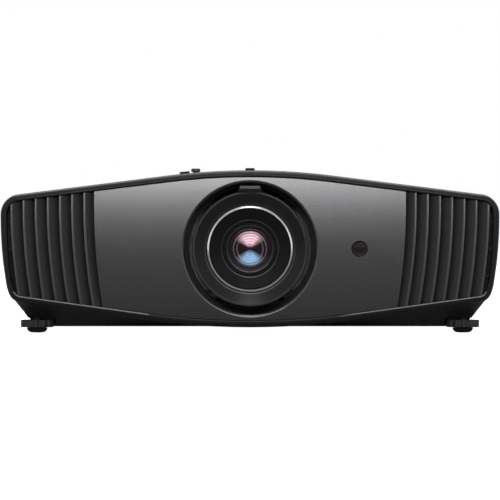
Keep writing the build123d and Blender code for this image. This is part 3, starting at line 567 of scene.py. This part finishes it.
def makeCamera():
    # level with the lens and square to the front, three metres away
    lens = bpy.data.cameras.new("frontCamera")
    camera = bpy.data.objects.new("frontCamera", lens)
    bpy.context.scene.collection.objects.link(camera)
    camera.location = (0, bezelLow.y - stage["distance"], lensZ + stage["cameraLift"])
    camera.rotation_euler = (math.radians(90), 0, 0)
    lens.sensor_width = stage["sensor"]
    lens.lens = stage["sensor"] * stage["distance"] / stage["frameWidth"]
    lens.clip_end = 50
    bpy.context.scene.camera = camera


makeStage()
makeLights()
makeCamera()
bpy.context.scene.view_settings.view_transform = "Standard"
print("stage, lights and camera ready")


# ---- shells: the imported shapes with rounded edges
shells = {
    "front_frame": 0.45 * mm,
    "front_fascia": 0.15 * mm,
    "louvre_left": 0.3 * mm,
    "louvre_right": 0.3 * mm,
    "top_cover": 0.3 * mm,
    "bottom_tray": 0.3 * mm,
    "lens_surround": 0.4 * mm,
    "sliding_cover": 0.3 * mm,
    "keypad_plate": 0.25 * mm,
    "lamp_cover": 0.3 * mm,
    "rear_panel": 0.25 * mm,
    "dial_well": 0.3 * mm,
}
for node, width in shells.items():
    piece = carryOver(node, width)
    print("shell", node, len(piece.data.polygons), "faces")


lipHighlightZone = {"inner": 116 * mm, "top": 75 * mm}


def paintLipHighlight():
    # below the louvres the frame's upward-facing inner edge gets a painted highlight: a fine pale line
    def onLipHighlight(face):
        middle = face.calc_center_median()
        return (middle.z < lipHighlightZone["top"] and abs(middle.x) > lipHighlightZone["inner"]
                and face.normal.z > 0.3 and face.normal.y < -0.3)

    skin = bpy.data.objects["front_frame_skin"]
    # the up-facing lip faces take the pale grey of the painted highlight
    skin.data.materials.append(lipHighlightGrey)
    pick(skin, "faces", onLipHighlight)
    skin.active_material_index = 1
    bpy.ops.object.material_slot_assign()
    bpy.ops.object.mode_set(mode="OBJECT")


paintLipHighlight()


sheet = {"bow": 800 * mm, "nearEnough": 1.5}


def smoothSheet():
    # the fascia is a slice of a wide cylinder, so its front takes the cylinder's own normals
    def cylinderNormal(z):
        lean = (z - lensZ) / sheet["bow"]
        return Vector((0, -math.sqrt(1 - lean * lean), lean))

    mesh = bpy.data.objects["front_fascia_skin"].data
    normals = [Vector(corner.vector) for corner in mesh.corner_normals]
    for face in mesh.polygons:
        if face.normal.dot(cylinderNormal(face.center.z)) > math.cos(math.radians(sheet["nearEnough"])):
            for corner in face.loop_indices:
                normals[corner] = cylinderNormal(mesh.vertices[mesh.loops[corner].vertex_index].co.z)
    mesh.normals_split_custom_set(normals)


smoothSheet()


# ---- lens rings, from the outside in
focusLow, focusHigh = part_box("focus_ring")
zoomLow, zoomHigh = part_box("zoom_ring")
nameLow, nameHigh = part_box("name_ring")
trimLow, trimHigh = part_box("trim_ring")
retainerLow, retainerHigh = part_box("lens_retainer")
ringRadius = (focusHigh.x - focusLow.x) / 2
focusRing = {"rimWidth": 2.4 * mm, "mouth": 43.6 * mm, "dish": 10 * mm, "bore": 50.06 * mm, "grips": 72,
             "gripDepth": 0.45 * mm, "gripGap": 0.35 * mm}


def cutGrips(piece, low, high, radius, count, depth, gap):
    # grip ribs: every other strip of the outer wall is inset and pushed in
    def onWall(face):
        middle = face.calc_center_median()
        fromAxis = math.hypot(middle.x - lensX, middle.z - lensZ)
        if not (low < middle.y < high and abs(fromAxis - radius) < 0.2 * mm and abs(face.normal.y) < 0.1):
            return False
        turn = math.atan2(middle.z - lensZ, middle.x - lensX) / math.tau * count * 2
        return int(turn + count * 2) % 2 == 0

    pick(piece, "faces", onWall)
    bpy.ops.mesh.inset(thickness=gap, depth=0)
    bpy.ops.transform.shrink_fatten(value=-depth)
    bpy.ops.object.mode_set(mode="OBJECT")


def makeFocusRing():
    front, back, radius = focusLow.y, focusHigh.y, ringRadius
    shelf = front + 13 * mm
    profile = [
        (front, radius - focusRing["rimWidth"]),
        (front, radius - 0.5 * mm),
        (front + 0.5 * mm, radius),
        (front + 3 * mm, radius),
        (back - 2 * mm, radius),
        (back, radius),
        (back, focusRing["bore"]),
        (shelf, focusRing["bore"]),
        (shelf, focusRing["mouth"]),
        (front + focusRing["dish"], focusRing["mouth"]),
        (front + focusRing["dish"] - 0.7 * mm, focusRing["mouth"] + 0.3 * mm),
        (front + focusRing["dish"] - 0.9 * mm, focusRing["mouth"] + 1.5 * mm),
    ]
    piece = turnOnLathe("focusRing", profile, segments=288)
    cutGrips(piece, front + 3 * mm, back - 2 * mm, radius, focusRing["grips"], focusRing["gripDepth"],
             focusRing["gripGap"])
    soften(piece, 0.18 * mm, 2, 28)
    place(piece, "focus_ring", "ring_black", replaces=["focus_ring"])


zoomLever = {"armHalf": 8.4 * mm, "shadeNeckHalf": 12 * mm, "padHalf": 10.2 * mm, "reach": 3.2 * mm}


def makeZoomRing():
    back, radius, bore = zoomHigh.y, ringRadius, focusRing["bore"]
    front = focusHigh.y + 0.4 * mm
    profile = [(front, bore), (front, radius), (front + 2 * mm, radius), (back - 2 * mm, radius),
               (back, radius), (back, bore)]
    ring = turnOnLathe("zoomRing", profile, segments=288)
    cutGrips(ring, front + 2 * mm, back - 2 * mm, radius, focusRing["grips"], focusRing["gripDepth"],
             focusRing["gripGap"])
    tipY, crown = zoomLow.y, lensZ + radius
    arm = block("zoomArm", (-zoomLever["armHalf"], tipY + 1.4 * mm, crown + 0.6 * mm),
                (zoomLever["armHalf"], back, crown + 2.8 * mm))
    root = block("zoomRoot", (-zoomLever["armHalf"], front + 0.6 * mm, crown - 1 * mm),
                 (zoomLever["armHalf"], back, crown + 1 * mm))
    # a wide neck in the darkest black stands in for the shadow under the lever: a dark block for painted
    # shade
    neck = block("zoomNeckShade", (-zoomLever["shadeNeckHalf"], tipY, crown - 1.0 * mm),
                 (zoomLever["shadeNeckHalf"], tipY + zoomLever["reach"], crown + 1.9 * mm))
    whole = join(ring, root)
    soften(whole, 0.25 * mm, 2, 28)
    place(whole, "zoom_ring", "ring_black", replaces=["zoom_ring"])
    # the arm and the neck take the painted-shade black
    shank = join(arm, neck)
    soften(shank, 0.25 * mm, 2, 28)
    place(shank, "zoom_ring", "ring_black", neckShadeBlack)
    # the grey thumb pad, with a shallow finger groove along its top
    pad = block("zoomPad", (-zoomLever["padHalf"], tipY, crown + 1.9 * mm),
                (zoomLever["padHalf"], tipY + zoomLever["reach"], crown + 5.1 * mm))
    pick(pad, "faces", lambda f: f.normal.z > 0.9)
    bpy.ops.mesh.inset(thickness=0.8 * mm, depth=-0.35 * mm)
    bpy.ops.object.mode_set(mode="OBJECT")
    soften(pad, 0.4 * mm, 3, 30)
    place(pad, "zoom_ring", "ring_black", leverGrey)


nameRing = {"outer": 43.14 * mm, "coneOuter": 40.4 * mm, "lip": 28.9 * mm, "step": 26.5 * mm,
            "throat": 24.3 * mm, "bore": 38 * mm}


def makeNameRing():
    front, back = nameLow.y, nameHigh.y
    profile = [
        (front, nameRing["outer"]),
        (back, nameRing["outer"]),
        (back, nameRing["bore"]),
        (front + 16 * mm, nameRing["bore"]),
        (front + 16 * mm, nameRing["throat"]),
        (front + 6.6 * mm, nameRing["throat"]),
        (front + 6.6 * mm, nameRing["step"]),
        (front + 4.6 * mm, nameRing["step"]),
        (front + 4.6 * mm, nameRing["lip"] - 1.1 * mm),
        (front + 2.6 * mm, nameRing["lip"] - 0.9 * mm),
        (front + 2.0 * mm, nameRing["lip"]),
        (front + 2.3 * mm, nameRing["lip"] + 0.3 * mm),
        (front + 2.1 * mm, nameRing["lip"] + 1.0 * mm),
        (front + 0.3 * mm, nameRing["coneOuter"] - 0.8 * mm),
        (front + 0.7 * mm, nameRing["coneOuter"] - 0.2 * mm),
        (front, nameRing["coneOuter"]),
    ]
    piece = turnOnLathe("nameRing", profile, segments=216)
    soften(piece, 0.1 * mm, 2, 24)
    place(piece, "front_cell", "lens_black", replaces=["name_ring"])


def makeTrimRing():
    # polished silver: leans out a little, so that it mirrors the lights and not the floor
    front, back = trimLow.y, trimHigh.y
    outer = (trimHigh.x - trimLow.x) / 2
    profile = [
        (back, outer),
        (front + 1.0 * mm, outer),
        (front + 0.75 * mm, outer - 0.35 * mm),
        (front + 0.12 * mm, outer - 1.95 * mm),
        (front, outer - 2.1 * mm),
        (back, outer - 2.2 * mm),
    ]
    piece = turnOnLathe("trimRing", profile, segments=216)
    soften(piece, 0.08 * mm, 2, 24)
    place(piece, "front_cell", "trim_silver", replaces=["trim_ring"])


def makeRetainer():
    front, back = retainerLow.y, retainerHigh.y
    profile = [
        (back, 24.2 * mm),
        (front + 1.6 * mm, 24.2 * mm),
        (front + 0.4 * mm, 23.9 * mm),
        (front, 23.5 * mm),
        (front + 0.15 * mm, 22.6 * mm),
        (front + 0.9 * mm, 22.1 * mm),
        (front + 1.4 * mm, 21.7 * mm),
        (back, 21.7 * mm),
    ]
    piece = turnOnLathe("lensRetainer", profile, segments=192)
    # two spanner slots, above and below
    pick(piece, "faces", lambda f: f.calc_center_median().y < front + 0.8 * mm
         and abs(f.calc_center_median().x - lensX) < 1.0 * mm)
    bpy.ops.transform.translate(value=(0, 0.7 * mm, 0))
    bpy.ops.object.mode_set(mode="OBJECT")
    soften(piece, 0.08 * mm, 2, 24)
    place(piece, "front_cell", "lens_black", rimGrey, replaces=["lens_retainer"])
    # the raised lip of the name ring's mouth
    lipFront, lipRadius = nameLow.y + 1.9 * mm, nameRing["lip"]
    mouth = turnOnLathe("nameLip", [
        (lipFront + 1.2 * mm, lipRadius + 0.1 * mm), (lipFront + 0.2 * mm, lipRadius + 0.1 * mm),
        (lipFront, lipRadius - 0.2 * mm), (lipFront + 0.1 * mm, lipRadius - 0.9 * mm),
        (lipFront + 0.6 * mm, lipRadius - 1.1 * mm), (lipFront + 1.2 * mm, lipRadius - 1.1 * mm)],
        segments=192)
    soften(mouth, 0.06 * mm, 2, 24)
    place(mouth, "front_cell", "lens_black", rimGrey)


glass = {"radius": 21.6 * mm, "bulge": 2.4 * mm, "steps": 12}


def makeGlass():
    # the bulging front element
    rim = glassLow.y + 2.6 * mm
    front = [(rim + 3.2 * mm, glass["radius"])]
    front += arcPoints(glass["radius"], glass["bulge"], rim, glass["steps"])
    piece = turnOnLathe("frontGlass", front, closed=False)
    closeEnd(piece)
    soften(piece, 0, 2, 30)
    place(piece, "front_cell", "coated_glass", glassPaintedFans, replaces=["front_lens"])


baffle = {"radii": (20.6, 16.5, 13.0, 10.2), "stepBack": 2.6 * mm, "lip": 0.5 * mm}


def makeBaffles():
    # blackened steps down the inside of the cell, and the dark element at their bottom
    y = glassLow.y + 9.6 * mm
    profile = [(y + 12 * mm, 23.6 * mm), (y, 23.6 * mm)]
    for radius in baffle["radii"]:
        profile += [(y, (radius + 0.7) * mm), (y + baffle["lip"], radius * mm)]
        y += baffle["stepBack"]
        profile.append((y, radius * mm))
    profile.append((profile[0][0], baffle["radii"][-1] * mm))
    piece = turnOnLathe("lensBaffles", profile, segments=120)
    soften(piece, 0.12 * mm, 2, 24)
    place(piece, "front_cell", "lens_black")
    floor = y + 0.2 * mm
    radius = (baffle["radii"][-1] - 0.1) * mm
    dome = [(floor + 1 * mm, radius)] + arcPoints(radius, 1.4 * mm, floor, 8)
    deep = turnOnLathe("deepGlass", dome, 72, False)
    closeEnd(deep)
    soften(deep, 0, 2, 30)
    place(deep, "front_cell", "coated_glass", deepViolet)


windowLow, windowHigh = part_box("ir_window")


def makeWindow():
    # the smoked remote-control window: a shallow dish inside a rounded rim
    middle = (windowLow + windowHigh) / 2
    front, radius = windowLow.y, (windowHigh.x - windowLow.x) / 2
    profile = [
        (windowHigh.y, radius),
        (front + 0.6 * mm, radius),
        (front, radius - 0.5 * mm),
        (front, radius - 0.9 * mm),
        (front + 0.35 * mm, radius - 1.2 * mm),
    ]
    dish = [(2 * profile[-1][0] - y, r) for y, r in arcPoints(profile[-1][1], 0.3 * mm, profile[-1][0], 8)]
    piece = turnOnLathe("irWindow", profile + dish[1:], 96, False, centre=(middle.x, 0, middle.z))
    closeEnd(piece)
    soften(piece, 0.08 * mm, 2, 24)
    place(piece, "chassis", "window_smoke", replaces=["ir_window"])


makeFocusRing()
makeZoomRing()
makeNameRing()
makeTrimRing()
makeRetainer()
makeGlass()
makeBaffles()
makeWindow()
print("lens ready")


# ---- feet
foot = {"wheelEdge": 1.3 * mm, "padEdge": 0.12 * mm, "stem": 4.0 * mm, "groove": 0.5 * mm}


def makeFoot(corner):
    carryOver("foot_wheel_" + corner, foot["wheelEdge"], angle=30, segments=3)
    # the pad under it: a dome with a ring pressed into its sole, on a chamfered stem
    node = "foot_pad_" + corner
    low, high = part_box(node)
    profile = [(high.z, foot["stem"] - 0.6 * mm), (high.z - 0.6 * mm, foot["stem"]), (4.9 * mm, foot["stem"])]
    profile += [(z * mm, r * mm) for z, r in (
        (4.9, 10.3), (3.6, 10.08), (2.5, 9.6), (1.5, 8.8), (0.8, 7.85), (0.3, 6.6), (0, 5), (0, 4.4))]
    profile += [(foot["groove"], 4.1 * mm), (foot["groove"], 2.7 * mm), (0, 2.4 * mm), (0, 0)]
    centre = ((low.x + high.x) / 2, (low.y + high.y) / 2, 0)
    pad = turnOnLathe("footPad_" + corner, profile, 96, False, "Z", centre)
    closeEnd(pad)
    soften(pad, foot["padEdge"], 2, 30)
    place(pad, node, slotOf[node], replaces=[node])


for corner in ("front_right", "rear_right", "front_left", "rear_left"):
    makeFoot(corner)
print("feet ready")


# ---- controls on the top
keys = {"edge": 0.35 * mm, "rim": 0.9 * mm, "dish": 0.3 * mm, "ringRadius": 2.3 * mm, "ringWidth": 0.5 * mm}


def dishTop(piece):
    # a shallow dish for the fingertip
    middle = sum((Vector(corner) for corner in piece.bound_box), Vector()) / 8
    reachX, reachY = piece.dimensions.x / 2 - 0.3 * mm, piece.dimensions.y / 2 - 1.5 * mm

    def onCrown(face):
        return face.normal.z > 0.9 and all(
            abs(v.co.x - middle.x) < reachX and abs(v.co.y - middle.y) < reachY for v in face.verts)

    pick(piece, "faces", onCrown)
    bpy.ops.mesh.inset(thickness=keys["rim"], depth=-keys["dish"])
    bpy.ops.object.mode_set(mode="OBJECT")


def makeKeys():
    for node in ("power_button", "menu_key", "source_key", "back_key"):
        carryOver(node, keys["edge"], detail=dishTop)
    # a raised ring marks the power button for the fingertip
    low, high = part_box("power_button")
    x, y = (low.x + high.x) / 2, (low.y + high.y) / 2
    top = surfaceAt("power_button", x, y) - keys["dish"]
    inner, outer = keys["ringRadius"], keys["ringRadius"] + keys["ringWidth"]
    ring = turnOnLathe("powerRing", [
        (top - 0.3 * mm, inner), (top + 0.1 * mm, inner), (top + 0.2 * mm, inner + 0.15 * mm),
        (top + 0.2 * mm, outer - 0.15 * mm), (top + 0.1 * mm, outer), (top - 0.3 * mm, outer)], 72, axis="Z",
        centre=(x, y, 0))
    soften(ring, 0.05 * mm, 2, 24)
    place(ring, "power_button", "key_plastic", leverGrey)


stickCap = {"hollow": 0.6 * mm, "neck": 3.0 * mm}


def makeStick():
    # the thumb stick's mushroom head, hollowed for the fingertip, on its neck
    low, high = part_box("stick")
    x, y, top, radius = (low.x + high.x) / 2, (low.y + high.y) / 2, high.z, (high.x - low.x) / 2
    bowl = radius - 1.3 * mm
    profile = [(low.z + 5 * mm, 2 * mm), (top - 3.5 * mm, stickCap["neck"]),
               (top - 3.4 * mm, radius - 0.5 * mm), (top - 2.9 * mm, radius),
               (top - 1.2 * mm, radius), (top - 0.35 * mm, radius - 0.4 * mm),
               (top, radius - 1.0 * mm), (top - 0.1 * mm, bowl), (top - stickCap["hollow"], bowl * 0.6),
               (top - stickCap["hollow"] - 0.15 * mm, 0)]
    head = turnOnLathe("stickHead", profile, 96, False, "Z", (x, y, 0))
    closeEnd(head)

    def onNotch(face):
        middle = face.calc_center_median()
        turn = math.atan2(middle.y - y, middle.x - x) / math.tau + 1
        return top - 2.9 * mm < middle.z < top - 1.1 * mm and abs(face.normal.z) < 0.3 and int(turn * 16) % 2

    # eight grip notches round the edge
    pick(head, "faces", onNotch)
    bpy.ops.mesh.inset(thickness=0.12 * mm, depth=-0.25 * mm)
    bpy.ops.object.mode_set(mode="OBJECT")
    soften(head, 0.1 * mm, 2, 28)
    place(head, "stick", slotOf["stick"], replaces=["stick"])
    carryOver("stick_gimbal", 0.15 * mm)


lamps = {"radius": 1.0 * mm, "height": 0.45 * mm, "pitch": 7.5 * mm, "inset": 5.8 * mm}


def makeLamps():
    # three status lamps: small domes in shallow bezels
    low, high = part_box("keypad_plate")
    y, radius = high.y - lamps["inset"], lamps["radius"]
    for number in (1, 2, 3):
        x = (low.x + high.x) / 2 + (number - 2) * lamps["pitch"]
        top = surfaceAt("keypad_plate", x, y)
        rim = [(top - 0.4 * mm, radius + 0.5 * mm), (top + 0.15 * mm, radius + 0.5 * mm),
               (top + 0.2 * mm, radius + 0.35 * mm), (top + 0.2 * mm, radius + 0.05 * mm),
               (top - 0.4 * mm, radius)]
        bezel = turnOnLathe("lampBezel" + str(number), rim, 48, axis="Z", centre=(x, y, 0))
        soften(bezel, 0.04 * mm, 2, 24)
        place(bezel, "chassis", "panel_plastic")
        dome = [(2 * top - z, r) for z, r in arcPoints(radius, lamps["height"], top, 6)]
        seat = (top - 0.4 * mm, radius)
        lens = turnOnLathe("lampLens" + str(number), [seat] + dome, 48, False, "Z", (x, y, 0))
        closeEnd(lens)
        soften(lens, 0, 2, 40)
        place(lens, "chassis", "panel_plastic", lampRed)


makeKeys()
makeStick()
makeLamps()
for dial in ("h_dial", "v_dial"):
    carryOver(dial, 0.25 * mm, segments=3)
print("top controls ready")


# ---- rear connectors
rear = {"video": (68.0, 42.0), "usb": 15.0, "jacks": (-104.0, -122.0, -140.0), "tongue": 0.92 * mm}


def faceOf(node):
    # the middle of a socket's rearward face
    low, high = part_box(node)
    return (low.x + high.x) / 2, high.y, (low.z + high.z) / 2


def strips(name, xs, width, y, z, material, slot="socket_metal"):
    # a row of contact strips as one piece
    rows = []
    for i, x in enumerate(xs):
        rows.append(block(name + str(i), (x - width / 2, y[0], z[0]), (x + width / 2, y[1], z[1])))
    row = join(*rows) if len(rows) > 1 else rows[0]
    row.name = row.data.name = name
    soften(row, min(width, z[1] - z[0], y[1] - y[0]) * 0.25, 1, 30)
    return place(row, "chassis", slot, material)


def makeVideoSockets():
    carryOver("av_sockets", 0.12 * mm)
    face, z = faceOf("av_sockets")[1:]
    above, below = z + rear["tongue"], z - rear["tongue"]
    upper, lower = (above - 0.1 * mm, above + 0.08 * mm), (below - 0.08 * mm, below + 0.1 * mm)
    depth = (face - 11 * mm, face - 1.7 * mm)
    for number, centre in enumerate(rear["video"], start=1):
        xs = [(centre + (i - 4) * 1.0) * mm for i in range(9)]
        strips("videoContacts" + str(number), xs, 0.45 * mm, depth, upper, contactGold)
        strips("videoContactsBelow" + str(number), xs, 0.45 * mm, depth, lower, contactGold)
    xs = [(rear["usb"] + (i - 1.5) * 2.0) * mm for i in range(4)]
    strips("usbContacts", xs, 1.0 * mm, (face - 11 * mm, face - 1.8 * mm), lower, contactGold)


def makeNetworkSocket():
    carryOver("lan_port", 0.2 * mm)
    x, face, z = faceOf("lan_port")
    pins = [x + (i - 3.5) * 1.02 * mm for i in range(8)]
    rows = []
    for i, across in enumerate(pins):
        pin = block("networkPin" + str(i), (across - 0.22 * mm, face - 11.4 * mm, z + 3.4 * mm),
                    (across + 0.22 * mm, face - 1.4 * mm, z + 3.8 * mm))
        # each spring slopes down towards the back of the socket
        pick(pin, "faces", lambda f: f.normal.y < -0.9)
        bpy.ops.transform.translate(value=(0, 0, -3.2 * mm))
        bpy.ops.object.mode_set(mode="OBJECT")
        rows.append(pin)
    whole = join(*rows)
    whole.name = whole.data.name = "networkPins"
    soften(whole, 0.06 * mm, 1, 30)
    place(whole, "chassis", "socket_metal", contactGold)
    for name, side, material in (("networkLampGreen", -1, jackGreen), ("networkLampAmber", 1, contactGold)):
        strips(name, [x + side * 6.3 * mm], 1.8 * mm, (face - 0.6 * mm, face + 0.2 * mm),
               (z + 5.1 * mm, z + 6.2 * mm), material, "inner_black")


serial = {"pitch": 2.77 * mm, "rowGap": 1.42 * mm, "lowerWidth": 0.84, "postSpan": 12.5 * mm}


def serialShape(name, halfWidth, halfHeight, length, sunk):
    # a block whose lower half narrows, as the plug's shell does
    x, face, z = faceOf("serial_port")
    piece = block(name, (x - halfWidth, face - sunk - length, z - halfHeight),
                  (x + halfWidth, face - sunk, z + halfHeight))
    pick(piece, "verts", lambda v: v.co.z < z)
    bpy.ops.transform.resize(value=(serial["lowerWidth"], 1, 1), center_override=(x, face, z))
    bpy.ops.object.mode_set(mode="OBJECT")
    return piece


def makeSerialSocket():
    x, face, z = faceOf("serial_port")
    flange = block("serialFlange", (x - 15.5 * mm, face - 6 * mm, z - 6.3 * mm),
                   (x + 15.5 * mm, face - 5 * mm, z + 6.3 * mm))
    shell = serialShape("serialShell", 9.0 * mm, 4.5 * mm, 11.6 * mm, 0.4 * mm)
    hollowEnd(shell, 0.5 * mm, 0.6 * mm)
    whole = join(flange, shell)
    soften(whole, 0.4 * mm, 3, 30)
    place(whole, "chassis", "socket_metal", replaces=["serial_port"])
    insert = serialShape("serialInsert", 8.1 * mm, 3.7 * mm, 6.3 * mm, 0.7 * mm)
    soften(insert, 0.5 * mm, 3, 30)
    place(insert, "chassis", "socket_metal", serialBlue)


def makeSerialPins():
    # nine sleeves in two rows, and the hexagon posts that a plug screws to
    x, face, z = faceOf("serial_port")
    holes = [(x + (i - 2) * serial["pitch"], z + serial["rowGap"]) for i in range(5)]
    holes += [(x + (i - 1.5) * serial["pitch"], z - serial["rowGap"]) for i in range(4)]
    for number, (across, up) in enumerate(holes, start=1):
        tube = turnOnLathe("serialPin" + str(number), [
            (face - 2 * mm, 0.62 * mm), (face - 0.5 * mm, 0.62 * mm), (face - 0.4 * mm, 0.5 * mm),
            (face - 0.4 * mm, 0.38 * mm), (face - 2 * mm, 0.32 * mm)], 24, centre=(across, 0, up))
        soften(tube, 0, 1, 30)
        place(tube, "chassis", "socket_metal", contactGold)
    for side in (-1, 1):
        name = "serialPostLeft" if side < 0 else "serialPostRight"
        post = startFrom("cylinder", name, vertices=6, radius=2.5 * mm, depth=4.8 * mm,
                         location=(x + side * serial["postSpan"], face - 3 * mm, z),
                         rotation=(math.pi / 2, 0, 0))
        hollowEnd(post, 0.9 * mm, 2.0 * mm)
        soften(post, 0.2 * mm, 2, 30)
        place(post, "chassis", "socket_metal")


def makeJacks():
    carryOver("jack_sockets", 0.2 * mm)
    face, z = faceOf("jack_sockets")[1:]
    for x, colour in zip(rear["jacks"], (jackBlue, jackGreen, jackRose)):
        ring = turnOnLathe("jackRing", [
            (face - 0.4 * mm, 1.8 * mm), (face + 0.1 * mm, 1.9 * mm), (face + 0.45 * mm, 2.3 * mm),
            (face + 0.45 * mm, 3.5 * mm), (face + 0.2 * mm, 3.9 * mm), (face - 0.4 * mm, 3.9 * mm)],
            72, centre=(x * mm, 0, z))
        soften(ring, 0.08 * mm, 2, 24)
        place(ring, "chassis", "inner_black", colour)


def makeInlet():
    carryOver("ac_inlet", 0.3 * mm)
    face = Vector(faceOf("ac_inlet"))
    for number, (x, z) in enumerate(((-7, -1.5), (0, 2.5), (7, -1.5)), start=1):
        tip = face + Vector((x, -2.7, z)) * mm
        blade = block("mainsBlade" + str(number), tip + Vector((-1.08, -14.3, -2.08)) * mm,
                      tip + Vector((1.08, 0, 2.08)) * mm)
        pick(blade, "faces", lambda f: f.normal.y > 0.9)
        bpy.ops.transform.resize(value=(0.6, 1, 0.8), center_override=tip)
        bpy.ops.object.mode_set(mode="OBJECT")
        soften(blade, 0.2 * mm, 2, 24)
        place(blade, "chassis", "socket_metal")


makeVideoSockets()
makeNetworkSocket()
makeSerialSocket()
makeSerialPins()
makeJacks()
makeInlet()
innerEdges = {"case_screws": 0.25 * mm, "ceiling_inserts": 0.2 * mm, "foot_inserts": 0.2 * mm,
              "fan_frames": 0.4 * mm, "fan_rotor_left": 0.2 * mm, "fan_rotor_right": 0.2 * mm,
              "lens_barrel": 0.3 * mm, "colour_wheel": 0.1 * mm}
for node, width in innerEdges.items():
    carryOver(node, width)
print("rear and inner pieces ready")


# ---- last touches
def flagKeyLight():
    # the front light is flagged off the top skin, which would mirror it straight to the back
    topSkin = bpy.data.collections.new("flaggedTop")
    for node in ("top_cover", "sliding_cover", "keypad_plate", "power_button", "menu_key", "source_key",
                 "back_key"):
        topSkin.objects.link(bpy.data.objects[node + "_skin"])
    bpy.data.objects["keyBox"].light_linking.receiver_collection = topSkin
    for member in topSkin.collection_objects:
        member.light_linking.link_state = "EXCLUDE"


flagKeyLight()
